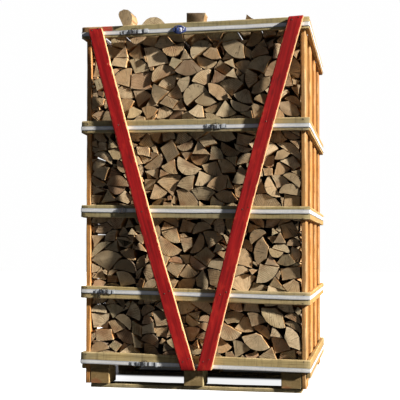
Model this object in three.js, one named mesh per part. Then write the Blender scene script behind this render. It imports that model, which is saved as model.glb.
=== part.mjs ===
// A palletised crate of split firewood, in millimetres, +Z up, the open front facing -Y.
// The origin is on the ground, in the middle of the crate's bounding box.
import * as THREE from "three";

// ---- Driving dimensions ----
const CRATE = { width: 1150, depth: 1130 };
const CONTACT_GAP = 0.3; // clearance left between pieces that touch

const BAND_THICKNESS = 20;
const SIDE_BAND_END_GAP = 1; // room at each end of a side board, which leans between the front and the back
// Each level of boards nailed round the crate: the height of its lower edge, its height, how far the front
// board's ends stand off level (left up, right down), and where the strap lies across it, from its middle.
// The front board of the base level is narrower: its lower edge stands higher by frontRise.
const BAND_LEVELS = [
  { name: "base", bottom: 84, height: 88, slope: 9, strap: -5, frontRise: 26 },
  { name: "lower", bottom: 436, height: 63, slope: 13, strap: 5 },
  { name: "middle", bottom: 845, height: 64, slope: 10, strap: 5 },
  { name: "upper", bottom: 1272, height: 65, slope: 8, strap: -7 },
  { name: "top", bottom: 1760, height: 60, slope: 2, strap: -7 },
];

const SLAT = { width: 125, thickness: 24, count: 4, top: 1812 };
const CORNER_SLAT_BOTTOM = 22;

const SKID = { width: 100, thickness: 20 };
const BLOCK = { width: 100, depth: 120, height: 78 };
const PALLET_BOARD_THICKNESS = 20;
const DECK = { boards: 5, boardWidth: 145 };

const STRAP = { height: 20, thickness: 1 };
const BRACE = { width: 71, thickness: 24 };
// Where the middle of each brace's lower and upper cut lies across the front, and the height of those cuts.
const BRACES = [
  { name: "brace_left", bottomX: -17, topX: -499, topZ: 1806 },
  { name: "brace_right", bottomX: 60, topX: 514, topZ: 1817 },
];
const BRACE_BOTTOM = 102;

const LOG_LENGTH = 348;
const ROW_COUNT = 3;
const TIE = { width: 66, thickness: 8, height: 46, x: -64 };

// ---- Levels and faces worked out from them ----
const halfWidth = CRATE.width / 2;
const halfDepth = CRATE.depth / 2;
const slatOuter = halfWidth - BAND_THICKNESS - CONTACT_GAP;
const slatInner = slatOuter - SLAT.thickness;
const innerHalfWidth = slatInner - CONTACT_GAP;
const innerHalfDepth = halfDepth - BAND_THICKNESS - CONTACT_GAP;
const blockBottom = SKID.thickness + CONTACT_GAP;
const stringerBottom = blockBottom + BLOCK.height + CONTACT_GAP;
const deckBottom = stringerBottom + PALLET_BOARD_THICKNESS + CONTACT_GAP;
const deckTop = deckBottom + PALLET_BOARD_THICKNESS;
const strapOuter = CONTACT_GAP + STRAP.thickness;
const braceBack = halfDepth + strapOuter + CONTACT_GAP;
// The braces stand proud at the front and only a strap at the back: this puts the box's middle at Y = 0.
const centring = (braceBack + BRACE.thickness - halfDepth - strapOuter) / 2;

// ---- Materials ----
const paint = (color, roughness, metalness = 0) =>
  new THREE.MeshStandardMaterial({ color, roughness, metalness });
const bandWood = paint(0xb79a62, 0.85);
const slatWood = paint(0xcf9a5c, 0.8);
const palletWood = paint(0xa58a5c, 0.9);
const redPaint = paint(0x9c1a1c, 0.55);
const steel = paint(0xbfc9cb, 0.35, 0.9);
const splitWood = paint(0xc2a571, 0.85);
const bluePlastic = paint(0x2a46a8, 0.5);

const crate = new THREE.Group();
crate.position.y = centring;

function add(name, geometry, material, x = 0, y = 0, z = 0) {
  const mesh = new THREE.Mesh(geometry, material);
  mesh.name = name;
  mesh.position.set(x, y, z);
  crate.add(mesh);
  return mesh;
}

// A sawn board given by its size and the middle of its underside.
function board(name, size, material, x, y, bottom) {
  const geometry = new THREE.BoxGeometry(size.x, size.y, size.z);
  return add(name, geometry, material, x, y, bottom + size.z / 2);
}

// An outline in the XZ plane, made `depth` thick from the plane y = front towards +Y.
function plate(name, outline, depth, material, front) {
  const shape = new THREE.Shape(outline.map(([x, z]) => new THREE.Vector2(x, z)));
  const geometry = new THREE.ExtrudeGeometry(shape, { depth, bevelEnabled: false });
  geometry.rotateX(Math.PI / 2);
  return add(name, geometry, material, 0, front + depth, 0);
}

// Evenly spaced middles of `count` things of one size that fill a span centred on zero.
function spread(count, size, halfSpan) {
  const step = (2 * halfSpan - size) / (count - 1);
  return Array.from({ length: count }, (_, i) => -halfSpan + size / 2 + i * step);
}

// ---- Pallet ----
const COLUMN_NAMES = ["left", "centre", "right"];
const ROW_NAMES = ["front", "middle", "back"];

function buildPallet() {
  const columns = spread(3, BLOCK.width, innerHalfWidth);
  const rows = spread(3, BLOCK.depth, innerHalfDepth);
  const skidSize = { x: 2 * innerHalfWidth, y: SKID.width, z: SKID.thickness };
  const stringerSize = { x: BLOCK.width, y: 2 * innerHalfDepth, z: PALLET_BOARD_THICKNESS };
  const blockSize = { x: BLOCK.width, y: BLOCK.depth, z: BLOCK.height };
  rows.forEach((y, row) => {
    board(`skid_${ROW_NAMES[row]}`, skidSize, palletWood, 0, y, 0);
    columns.forEach((x, column) => {
      const name = `block_${ROW_NAMES[row]}_${COLUMN_NAMES[column]}`;
      board(name, blockSize, palletWood, x, y, blockBottom);
    });
  });
  columns.forEach((x, column) => {
    board(`stringer_${COLUMN_NAMES[column]}`, stringerSize, palletWood, x, 0, stringerBottom);
  });
  const deckSize = { x: 2 * innerHalfWidth, y: DECK.boardWidth, z: PALLET_BOARD_THICKNESS };
  spread(DECK.boards, DECK.boardWidth, innerHalfDepth).forEach((y, i) => {
    board(`deck_board_${i + 1}`, deckSize, palletWood, 0, y, deckBottom);
  });
}

// ---- Side walls ----
// The corner boards reach down beside the pallet's blocks; the ones between start on the level of the base band.
function buildSlats() {
  const x = slatInner + SLAT.thickness / 2;
  const places = spread(SLAT.count, SLAT.width, innerHalfDepth);
  for (const [side, sign] of [["left", -1], ["right", 1]]) {
    places.forEach((y, i) => {
      const atCorner = i === 0 || i === SLAT.count - 1;
      const bottom = atCorner ? CORNER_SLAT_BOTTOM : BAND_LEVELS[0].bottom;
      const size = { x: SLAT.thickness, y: SLAT.width, z: SLAT.top - bottom };
      board(`slat_${side}_${i + 1}`, size, slatWood, sign * x, y, bottom);
    });
  }
}

// ---- Bands and straps ----
// The front boards cover the side boards' ends. The side boards run from the sloping front to the level back.
function buildBand({ name, bottom, height, slope, frontRise = 0 }) {
  const middle = bottom + height / 2;
  const frontY = halfDepth - BAND_THICKNESS / 2;
  const sideLength = 2 * (innerHalfDepth - SIDE_BAND_END_GAP);
  const sideX = halfWidth - BAND_THICKNESS / 2;
  // A board that stands higher leans past the strap at its corners, so it is cut a little shorter.
  const frontSize = { x: CRATE.width - frontRise / 40, y: BAND_THICKNESS, z: height - frontRise };
  const backSize = { x: CRATE.width, y: BAND_THICKNESS, z: height };
  const sideSize = { x: BAND_THICKNESS, y: sideLength, z: height };
  const front = board(`band_${name}_front`, frontSize, bandWood, 0, -frontY, bottom + frontRise);
  front.rotation.y = slope / halfWidth;
  board(`band_${name}_back`, backSize, bandWood, 0, frontY, bottom);
  const tilt = Math.atan(slope / sideLength);
  for (const [side, sign] of [["left", -1], ["right", 1]]) {
    const mesh = board(`band_${name}_${side}`, sideSize, bandWood, sign * sideX, 0, bottom);
    mesh.position.z = middle - (sign * slope) / 2;
    mesh.rotation.x = sign * tilt;
  }
}

// A flat steel strap round a level. Its four corners follow the boards' ends, so it is a closed ring of
// four straight stretches with one corner of the ring's section at each.
function strapGeometry(middle, slope) {
  const ring = (x, y) => {
    const level = y < 0 ? middle - (Math.sign(x) * slope) : middle;
    return [
      [x, y, level - STRAP.height / 2],
      [x, y, level + STRAP.height / 2],
    ];
  };
  const section = (signX, signY) => {
    const inner = ring(signX * (halfWidth + CONTACT_GAP), signY * (halfDepth + CONTACT_GAP));
    const outer = ring(signX * (halfWidth + strapOuter), signY * (halfDepth + strapOuter));
    return [inner[0], outer[0], outer[1], inner[1]];
  };
  const corners = [section(-1, -1), section(1, -1), section(1, 1), section(-1, 1)];
  const index = [];
  for (let side = 0; side < 4; side += 1) {
    for (let edge = 0; edge < 4; edge += 1) {
      const a = side * 4 + edge;
      const b = side * 4 + ((edge + 1) % 4);
      const c = ((side + 1) % 4) * 4 + ((edge + 1) % 4);
      const d = ((side + 1) % 4) * 4 + edge;
      index.push(a, d, c, a, c, b);
    }
  }
  const geometry = new THREE.BufferGeometry();
  geometry.setAttribute("position", new THREE.Float32BufferAttribute(corners.flat(2), 3));
  geometry.setIndex(index);
  return geometry;
}

function buildStrap({ name, bottom, height, slope, strap }) {
  add(`strap_${name}`, strapGeometry(bottom + height / 2 + strap, slope), steel);
}

// ---- Braces ----
// Each is cut level at both ends, so its outline is a leaning parallelogram.
function buildBrace({ name, bottomX, topX, topZ }) {
  const lean = Math.atan2(topX - bottomX, topZ - BRACE_BOTTOM);
  const half = BRACE.width / 2 / Math.cos(lean);
  const outline = [
    [bottomX - half, BRACE_BOTTOM],
    [bottomX + half, BRACE_BOTTOM],
    [topX + half, topZ],
    [topX - half, topZ],
  ];
  plate(name, outline, BRACE.thickness, redPaint, -(braceBack + BRACE.thickness));
}

// ---- Firewood ----
// One closed solid for each row of logs, from the deck to the tips of the logs that stand highest.
const ROW_TOPS = {
  front: [[-505, 1770], [-405, 1832], [-388, 1912], [-325, 1908], [-295, 1850], [-275, 1846], [-200, 1868],
    [-120, 1838], [-30, 1812], [-40, 1874], [60, 1862], [90, 1800], [250, 1800], [285, 1846], [330, 1790],
    [505, 1770]],
  middle: [[-505, 1780], [-330, 1842], [-60, 1800], [180, 1846], [350, 1800], [505, 1770]],
  back: [[-505, 1765], [-240, 1805], [20, 1850], [240, 1810], [400, 1838], [505, 1770]],
};

function buildFirewood() {
  const floor = deckTop + CONTACT_GAP;
  const half = innerHalfWidth - CONTACT_GAP;
  const middles = spread(ROW_COUNT, LOG_LENGTH, innerHalfDepth - CONTACT_GAP);
  ROW_NAMES.forEach((row, i) => {
    const top = ROW_TOPS[row];
    const outline = [[half, floor], [half, top.at(-1)[1]], ...[...top].reverse(), [-half, top[0][1]], [-half, floor]];
    plate(`firewood_row_${row}`, outline, LOG_LENGTH, splitWood, middles[i] - LOG_LENGTH / 2);
  });
}

// ---- Blue tie knotted round the top strap ----
function buildTie() {
  const top = BAND_LEVELS.at(-1);
  const size = { x: TIE.width, y: TIE.thickness, z: TIE.height };
  const front = -(halfDepth + strapOuter + CONTACT_GAP + TIE.thickness / 2);
  board("blue_tie", size, bluePlastic, TIE.x, front, top.bottom + top.height / 2 + top.strap - TIE.height / 2);
}

buildPallet();
buildSlats();
BAND_LEVELS.forEach(buildBand);
BAND_LEVELS.forEach(buildStrap);
BRACES.forEach(buildBrace);
buildFirewood();
buildTie();

export default crate;
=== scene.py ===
"""A palletised crate of split firewood.

A block pallet carries two slatted side walls. Five levels of boards are nailed round them, each under a
steel strap, and two red boards are nailed across the open front as a V. Three rows of split logs fill the
crate.
"""
import logging
import math
from dataclasses import dataclass, field
from enum import Enum
from typing import Any, Iterable, Sequence

import bpy
import numpy as np
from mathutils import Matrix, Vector


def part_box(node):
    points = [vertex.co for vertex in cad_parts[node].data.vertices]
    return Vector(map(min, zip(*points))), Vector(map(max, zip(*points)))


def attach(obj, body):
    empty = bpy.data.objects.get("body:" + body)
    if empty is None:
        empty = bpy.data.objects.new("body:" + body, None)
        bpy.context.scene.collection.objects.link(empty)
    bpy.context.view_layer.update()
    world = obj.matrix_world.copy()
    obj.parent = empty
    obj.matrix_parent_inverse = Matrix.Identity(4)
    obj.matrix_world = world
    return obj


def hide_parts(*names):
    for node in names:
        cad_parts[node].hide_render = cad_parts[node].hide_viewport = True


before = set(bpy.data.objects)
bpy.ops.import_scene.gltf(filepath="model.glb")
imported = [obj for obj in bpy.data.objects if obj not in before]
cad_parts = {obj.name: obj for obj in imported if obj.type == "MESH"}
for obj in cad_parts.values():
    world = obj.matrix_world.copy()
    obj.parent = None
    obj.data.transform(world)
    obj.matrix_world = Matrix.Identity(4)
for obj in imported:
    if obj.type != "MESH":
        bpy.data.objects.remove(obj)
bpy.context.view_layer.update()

LOG = logging.getLogger("firewood")
BODY = "root"
TURN = 2 * math.pi
CREASE = 35.0  # degrees past which an edge stays sharp
LEVELS = ("base", "lower", "middle", "upper", "top")
Colour = tuple[float, float, float, float]


class Slot(Enum):
    """Material slot names."""

    PALLET = "pallet_wood"
    SLAT = "slat_wood"
    BAND = "band_wood"
    STRAP = "galvanised_strap"
    PAINT = "red_paint"
    SPLIT = "split_wood"
    TIE = "blue_plastic"


def shade(code: str) -> Colour:
    """Turns a screen colour such as "c8a878" into the linear colour that a shader takes.

    Args:
        code: Six hexadecimal digits.

    Returns:
        The colour, opaque.
    """
    parts = [int(code[i : i + 2], 16) / 255 for i in (0, 2, 4)]
    red, green, blue = (p / 12.92 if p < 0.04045 else ((p + 0.055) / 1.055) ** 2.4 for p in parts)
    return (red, green, blue, 1.0)


def dice(name: str) -> np.random.Generator:
    """A random source that depends only on a piece's name."""
    return np.random.default_rng(list(name.encode()))


def extents(node: str, kind: Any = np.array) -> tuple[Any, Any]:
    """The lowest and the highest corner of a CAD node's box, as arrays or as another kind."""
    low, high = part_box(node)
    return kind(low), kind(high)


def put(name: str, data: bpy.types.ID) -> bpy.types.Object:
    """A new object in the scene, at the origin.

    Args:
        name: The object's name.
        data: Its mesh, lamp or camera data.

    Returns:
        The object.
    """
    made = bpy.data.objects.new(name, data)
    bpy.context.scene.collection.objects.link(made)
    return made


# ---- Node trees ----


class Wire:
    """One output socket, on which sums are written as plain Python."""

    def __init__(self, graph: "Graph", socket: bpy.types.NodeSocket) -> None:
        """Keeps the socket and the graph it belongs to."""
        self.graph = graph
        self.socket = socket

    def maths(self, operation: str, *values: "Wire | float") -> "Wire":
        """Adds a Math node that takes the values in order."""
        return self.graph.node("ShaderNodeMath", {"operation": operation}, dict(enumerate(values)))

    def __add__(self, other: "Wire | float") -> "Wire":
        """Sum."""
        return self.maths("ADD", self, other)

    def __sub__(self, other: "Wire | float") -> "Wire":
        """Difference."""
        return self.maths("SUBTRACT", self, other)

    def __rsub__(self, other: float) -> "Wire":
        """Difference from a plain number."""
        return self.maths("SUBTRACT", other, self)

    def __mul__(self, other: "Wire | float") -> "Wire":
        """Product."""
        return self.maths("MULTIPLY", self, other)

    def __truediv__(self, other: "Wire | float") -> "Wire":
        """Quotient."""
        return self.maths("DIVIDE", self, other)

    def __pow__(self, other: "Wire | float") -> "Wire":
        """Power."""
        return self.maths("POWER", self, other)

    __radd__ = __add__
    __rmul__ = __mul__

    def wave(self) -> "Wire":
        """A sine of this value, moved to 0..1."""
        return self.maths("SINE", self) * 0.5 + 0.5

    def fade(self, start: float, end: float) -> "Wire":
        """A smooth step from 0 at start to 1 at end; start may be the higher."""
        settings = {"interpolation_type": "SMOOTHSTEP"}
        return self.graph.node("ShaderNodeMapRange", settings, {0: self, 1: start, 2: end})

    def blend(self, low: "Wire | Colour", high: "Wire | Colour") -> "Wire":
        """Mixes two colours by this value."""
        return self.graph.node("ShaderNodeMix", {"data_type": "RGBA"}, {0: self, 6: low, 7: high}, 2)

    def over(self, below: "Wire | Colour", code: str) -> "Wire":
        """Lays a screen colour over another colour where this value is high."""
        return self.blend(below, shade(code))

    def other(self, name: str) -> "Wire":
        """Another output of the same node."""
        return Wire(self.graph, self.socket.node.outputs[name])


class Graph:
    """A node tree that one method fills."""

    def __init__(self, tree: bpy.types.NodeTree) -> None:
        """Starts from an empty tree."""
        self.tree = tree
        self.tree.nodes.clear()

    def node(
        self,
        kind: str,
        settings: dict[str, Any] | None = None,
        values: dict[int | str, Any] | None = None,
        output: int | str = 0,
    ) -> Wire | None:
        """Adds one node.

        Args:
            kind: The node's type.
            settings: Its properties, set first.
            values: Its inputs, by name or place, each a number, a colour or a wire.
            output: The output to hand back.

        Returns:
            The wire that leaves the node, or None where it has no output.
        """
        made = self.tree.nodes.new(kind)
        for name, value in (settings or {}).items():
            setattr(made, name, value)
        for key, value in (values or {}).items():
            if isinstance(value, Wire):
                self.tree.links.new(value.socket, made.inputs[key])
            else:
                made.inputs[key].default_value = value
        return Wire(self, made.outputs[output]) if made.outputs else None


class Surface(Graph):
    """The shader of one finish, with the readings and patterns that the finishes share.

    Every point of a piece carries `grain`, its place in the wood or metal in metres, `tone`, three random
    numbers for the board or log it is on, and `wear`, 1 on its sharp edges.
    """

    def __init__(self, name: str) -> None:
        """Makes the material and reads the three attributes.

        Args:
            name: The material's name.
        """
        self.material = bpy.data.materials.new(name)
        self.material.use_nodes = True
        super().__init__(self.material.node_tree)
        self.grain = self.reading("grain", "Vector")
        self.tones = self.reading("tone", "Vector")
        self.tone = self.split(self.tones)
        self.wear = self.reading("wear", "Fac")
        shift = {"operation": "MULTIPLY_ADD"}
        self.place = self.node("ShaderNodeVectorMath", shift, {0: self.tones, 1: (7, 7, 7), 2: self.grain})

    def reading(self, name: str, output: str) -> Wire:
        """Reads an attribute."""
        return self.node("ShaderNodeAttribute", {"attribute_name": name}, output=output)

    def spot(self) -> Wire:
        """The place on the piece, for one that carries no grain."""
        return self.node("ShaderNodeTexCoord", output="Object")

    def split(self, vector: Wire) -> tuple[Wire, Wire, Wire]:
        """The three parts of a vector."""
        first = self.node("ShaderNodeSeparateXYZ", values={0: vector})
        return first, first.other("Y"), first.other("Z")

    def join(self, x: Wire | float, y: Wire | float, z: Wire | float) -> Wire:
        """A vector from three parts."""
        return self.node("ShaderNodeCombineXYZ", values={0: x, 1: y, 2: z})

    def noise(self, where: Wire, stretch: Sequence[float], detail: float = 3, rough: float = 0.55) -> Wire:
        """Noise with its own scale along each axis, in waves a metre.

        Args:
            where: The place to read it at.
            stretch: Waves a metre along each axis.
            detail: How many finer octaves it has.
            rough: How strong the finer octaves are.

        Returns:
            The noise, 0 to 1.
        """
        moved = self.node("ShaderNodeVectorMath", {"operation": "MULTIPLY"}, {0: where, 1: tuple(stretch)})
        values = {"Vector": moved, "Scale": 1.0, "Detail": detail, "Roughness": rough}
        return self.node("ShaderNodeTexNoise", values=values)

    def cells(self, where: Wire, stretch: Sequence[float], feature: str = "F1") -> Wire:
        """Distance to the nearest of some scattered points, or to the borders between them.

        Args:
            where: The place to read it at.
            stretch: Points a metre along each axis.
            feature: What the distance is measured to, as the node names it.

        Returns:
            The distance.
        """
        moved = self.node("ShaderNodeVectorMath", {"operation": "MULTIPLY"}, {0: where, 1: tuple(stretch)})
        values = {"Vector": moved, "Scale": 1.0}
        return self.node("ShaderNodeTexVoronoi", {"feature": feature}, values, "Distance")

    def finish(
        self,
        colour: Wire | Colour,
        rough: Wire | float,
        height: Wire,
        depth: float,
        constants: dict[str, Any] | None = None,
        metal: float = 0.0,
    ) -> bpy.types.Material:
        """Joins the patterns to the shader.

        Args:
            colour: Base colour.
            rough: Roughness.
            height: The pattern that the bump follows, about 0 to 1.
            depth: How deep the pattern is, in metres.
            constants: Values set on the shader's other sockets.
            metal: Metallic.

        Returns:
            The material.
        """
        normal = self.node("ShaderNodeBump", values={"Strength": 1.0, "Distance": depth, "Height": height})
        values = {"Base Color": colour, "Roughness": rough, "Metallic": metal, "Normal": normal}
        values.update(constants or {})
        shader = self.node("ShaderNodeBsdfPrincipled", values=values)
        self.node("ShaderNodeOutputMaterial", values={"Surface": shader})
        return self.material


# ---- Finishes ----


@dataclass(frozen=True)
class SawnTimber:
    """Rough-sawn softwood: growth rings seen along the board, knots, saw marks and grey weathering."""

    name: str
    pale: str = "d8b987"
    deep: str = "b48a50"
    tint: str = "b9a878"
    grey: str = "8f8a7a"
    knot: str = "6b4424"
    weathering: float = 0.4
    ring_width: float = 0.0045
    chatter: float = 0.3
    end_grain: bool = False
    smear: tuple[float, float] | None = None

    def make(self) -> bpy.types.Material:
        """Builds the material.

        Returns:
            The material.
        """
        s = Surface(self.name)
        along, across, through = s.split(s.grain)
        drift = s.noise(s.place, (1.3, 9, 9), 2)
        knots = s.cells(s.place, (5.5, 5.5, 0))
        kind = s.split(knots.other("Color"))[0]
        knot_size = kind * 0.045 + 0.018
        knot = (knots / knot_size).fade(1.15, 0.85)
        swirl = knots.fade(0.16, 0.03)
        to_pith = across + (s.tone[0] - 0.5) * 0.07
        under = through + 0.03 + s.tone[1] * 0.04
        radius = (to_pith * to_pith + under * under) ** 0.5 + (drift - 0.5) * 0.02 + swirl * 0.006
        rings = (radius * (TURN / self.ring_width)).wave() ** 2.5
        streaks = s.noise(s.place, (2.2, 75, 75), 4, 0.6).fade(0.34, 0.68)
        fibres = s.noise(s.place, (28, 700, 700), 2)
        mottle = s.noise(s.place, (3, 8, 8), 4, 0.6)
        marks = (along * (TURN / 0.0052) + s.noise(s.place, (9, 30, 30), 1) * 5).wave()
        body = (streaks * 0.55 + rings * 0.45).blend(shade(self.pale), shade(self.deep))
        body = (s.tone[1].fade(0.35, 0.95) * 0.75).over(body, self.tint)
        body = (s.tone[0].fade(0.3, 1.0) * 0.35).over(body, self.deep)
        weather = (mottle.fade(0.42, 0.68) * self.weathering + s.tone[2] * self.weathering * 0.6) * 0.9
        body = weather.over(body, self.grey)
        body = (fibres.fade(0.55, 0.75) * 0.22).over(body, "5a4128")
        body = (knot * 0.85).over(body, self.knot)
        body = ((knots / knot_size).fade(1.35, 1.1) * (1 - knot) * 0.4).over(body, "4a2e18")
        worn = s.wear * s.noise(s.place, (14, 60, 60), 3).fade(0.4, 0.65)
        body = (worn * 0.4).over(body, "e6cfa2")
        dirt = s.noise(s.place, (11, 26, 26), 5, 0.7).fade(0.56, 0.8)
        body = (dirt * 0.45).over(body, "4d4032")
        chatter = s.noise(s.place, (68, 7, 7), 4, 0.66).fade(0.49, 0.68)
        body = (chatter * self.chatter).over(body, "5d5138")
        spots = s.noise(s.place, (90, 140, 140), 4, 0.7).fade(0.66, 0.76)
        body = (spots * 0.4).over(body, "3f3322")
        if self.end_grain:
            body = (rings * 0.4 + 0.25).over(body, self.deep)
            heart = (to_pith * to_pith + under * under).fade(0.0016, 0.0004)
            body = (heart * 0.6).over(body, "8a4a2c")
        if self.smear:
            left, right = self.smear
            ragged = s.noise(s.place, (50, 90, 90), 5, 0.7)
            edge = along + (ragged - 0.5) * 0.03
            patch = edge.fade(left - 0.005, left + 0.005) * edge.fade(right + 0.004, right - 0.004)
            patch = patch * (across + (ragged - 0.5) * 0.012).fade(-0.002, 0.006)
            thin = s.noise(s.place, (40, 160, 160), 4, 0.7).fade(0.3, 0.55)
            body = (patch * (thin * 0.4 + 0.5)).over(body, "a8302f")
            beside = (across + (ragged - 0.5) * 0.02).fade(-0.002, 0.008)
            beside = along.fade(left + 0.002, left - 0.03) * beside
            body = (beside * 0.5).over(body, "a0653f")
            # a dark wedge on the board right of the smear, narrowing away from it
            stain = edge.fade(right - 0.002, right + 0.004) * edge.fade(right + 0.075, right + 0.05)
            stain = stain * (across - (along - right) * 0.4 + (ragged - 0.5) * 0.006).fade(0.002, 0.006)
            body = (stain * 0.9).over(body, "1f1a0e")
        height = rings * 0.25 + fibres * 0.5 + marks * 0.22 + knot * 0.4
        rough = 0.82 - streaks * 0.1
        return s.finish(body, rough, height, 0.0011, {"Specular IOR Level": 0.25})


@dataclass(frozen=True)
class BrushedPaint:
    """Thin red paint brushed along rough timber, with the wood showing where it is worn."""

    name: str = "red_paint"
    red: str = "b01618"
    dark: str = "7e0c0f"
    bright: str = "c62c22"

    def make(self) -> bpy.types.Material:
        """Builds the material.

        Returns:
            The material.
        """
        s = Surface(self.name)
        brush = s.noise(s.place, (3.5, 120, 120), 4, 0.6)
        fibres = s.noise(s.place, (30, 700, 700), 2)
        blotch = s.noise(s.place, (9, 20, 20), 4, 0.6)
        knots = s.cells(s.place, (5.5, 5.5, 0))
        knot = knots.fade(0.055, 0.035)
        body = brush.fade(0.3, 0.7).blend(shade(self.dark), shade(self.red))
        body = (blotch.fade(0.52, 0.7) * 0.55).over(body, self.bright)
        body = (blotch.fade(0.42, 0.28) * 0.6).over(body, "5c0a0c")
        body = (knot * 0.75).over(body, "3c0c0c")
        chips = s.wear * s.noise(s.place, (35, 90, 90), 4, 0.65).fade(0.52, 0.6)
        thin = s.noise(s.place, (6, 160, 160), 3).fade(0.66, 0.74) * 0.5
        body = (chips * 0.9 + thin * 0.4).over(body, "c99a68")
        height = brush * 0.5 + fibres * 0.5 - chips * 0.3
        return s.finish(body, 0.42 + brush * 0.25, height, 0.0008, {"Specular IOR Level": 0.4})


@dataclass(frozen=True)
class Galvanised:
    """Zinc-coated steel with soft spangles, handling scratches, dull patches and painted shade along its
    edges.
    """

    name: str = "galvanised_strap"
    bright: str = "fbfeff"
    dull: str = "b2c0cc"
    shadow: str = "66788a"
    spangle: float = 120.0
    roughness: float = 0.32

    def make(self) -> bpy.types.Material:
        """Builds the material.

        Returns:
            The material.
        """
        s = Surface(self.name)
        scale = self.spangle
        spangles = s.split(s.cells(s.place, (scale, scale, scale)).other("Color"))[0]
        dull = s.noise(s.place, (5, 60, 60), 4, 0.6).fade(0.38, 0.7)
        scratch = s.noise(s.place, (8, 1500, 1500), 2).fade(0.62, 0.7)
        body = (dull * 0.4 + spangles * 0.2).blend(shade(self.bright), shade(self.dull))
        across = s.split(s.grain)[1]
        # painted shade: the shadow colour darkens a strap towards its two edges, and the turned ends all
        # over, since their across is their height
        painted_edge_shade = across.maths("ABSOLUTE", across + (dull - 0.5) * 0.001).fade(0.0045, 0.0098)
        body = (painted_edge_shade * 0.6).over(body, self.shadow)
        rust = s.noise(s.place, (30, 90, 90), 5, 0.7).fade(0.68, 0.8) + s.wear * 0.12
        body = (rust * 0.5).over(body, "6a5138")
        body = (scratch * 0.5).over(body, "eef2f2")
        rough = self.roughness + dull * 0.22 + spangles * 0.08
        return s.finish(body, rough, dull + scratch * 0.3, 0.0004, metal=0.22)


@dataclass(frozen=True)
class CutEnd:
    """The sawn end of a log: rings round the pith, rays, drying checks, a darker heart and saw scratches."""

    name: str = "log_cut_end"
    pale: str = "dccaa6"
    tan: str = "bfa279"
    pink: str = "b8957b"
    moss: str = "a6a480"
    brown: str = "846547"

    def make(self) -> bpy.types.Material:
        """Builds the material.

        Returns:
            The material.
        """
        s = Surface(self.name)
        x, z, _ = s.split(s.grain)
        wobble = s.noise(s.place, (22, 22, 6), 2)
        radius = (x * x + z * z) ** 0.5 + (wobble - 0.5) * 0.016
        rings = (radius * (TURN / 0.0042)).wave() ** 2
        angle = z.maths("ARCTAN2", z, x)
        polar = s.join(angle * 9.0, radius * 14.0, s.tone[0] * 40)
        rays = s.noise(polar, (3, 0.8, 1), 4, 0.65)
        check = s.noise(polar, (0.55, 0.22, 1), 2)
        crack = (check - 0.5).maths("ABSOLUTE", check - 0.5).fade(0.012, 0.002)
        crack = crack * s.noise(s.place, (26, 26, 3), 2).fade(0.48, 0.58)
        turn = s.tone[0] * math.pi * 1.7
        cosine, sine = turn.maths("COSINE", turn), turn.maths("SINE", turn)
        across, along = x * cosine + z * sine, z * cosine - x * sine
        saw_place = s.join(across, along, s.tone[2] * 5)
        scratches = s.noise(saw_place, (420, 26, 1), 3, 0.6)
        drift = s.noise(s.place, (24, 24, 3), 2)
        kerf = ((across + (drift - 0.5) * 0.012) * (TURN / 0.0082)).wave() ** 2.5
        sawn = s.tone[2].fade(0.42, 0.62) * s.noise(s.place, (30, 30, 3), 2).fade(0.36, 0.56)
        body = s.tone[1].fade(0.1, 0.8).blend(shade(self.pale), shade(self.tan))
        body = (s.tone[1].fade(0.7, 0.95) * 0.75).over(body, self.pink)
        body = (s.tone[0].fade(0.3, 0.0) * 0.5).over(body, self.moss)
        mottle = s.noise(s.place, (38, 38, 12), 5, 0.7)
        body = (mottle.fade(0.5, 0.74) * 0.5).over(body, "8f7550")
        body = (mottle.fade(0.46, 0.26) * 0.45).over(body, "ead9b2")
        body = (rays.fade(0.46, 0.66) * 0.42 + rings * 0.22).over(body, self.brown)
        heart = radius.fade(0.05, 0.02) * s.tone[2].fade(0.35, 0.6)
        body = (heart * 0.5).over(body, "8a5c3c")
        body = (kerf * sawn * 0.62 + scratches.fade(0.5, 0.72) * 0.3).over(body, "5f4a30")
        age = s.noise(s.place, (13, 13, 13), 4, 0.62).fade(0.45, 0.75) * 0.3
        age = age + s.tone[0].fade(0.66, 1.0) * 0.55
        body = age.over(body, "82775f")
        body = (s.wear * 0.3).over(body, "e6d7b4")
        body = (crack * 0.85).over(body, "2a1e14")
        height = scratches * 0.4 + kerf * sawn * 0.5 + mottle * 0.6 + rings * 0.12 - crack * 0.9
        return s.finish(body, 0.86, height, 0.0019, {"Specular IOR Level": 0.2})


@dataclass(frozen=True)
class SplitFace:
    """A face torn open along the fibres: long streaks, splinters and a clean bright or stained colour."""

    name: str = "log_split_face"
    pale: str = "c4a170"
    tan: str = "a67b48"
    red: str = "9a643c"

    def make(self) -> bpy.types.Material:
        """Builds the material.

        Returns:
            The material.
        """
        s = Surface(self.name)
        streaks = s.noise(s.place, (85, 85, 3), 4, 0.62)
        fibres = s.noise(s.place, (480, 480, 14), 3, 0.6)
        waves = s.noise(s.place, (30, 30, 9), 3)
        body = (s.tone[1].fade(0.15, 0.85)).blend(shade(self.pale), shade(self.tan))
        body = (streaks.fade(0.4, 0.66) * 0.6).over(body, self.red)
        body = (fibres.fade(0.52, 0.72) * 0.35).over(body, "6e4a2a")
        stain = waves.fade(0.52, 0.75) * 0.4 + s.tone[0].fade(0.55, 1.0) * 0.5
        body = stain.over(body, "7d6a50")
        body = (s.wear * fibres.fade(0.4, 0.6) * 0.6).over(body, "efdcb2")
        height = streaks * 0.6 + fibres * 0.45 + waves * 0.5
        return s.finish(body, 0.8, height, 0.0022, {"Specular IOR Level": 0.25})


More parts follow.
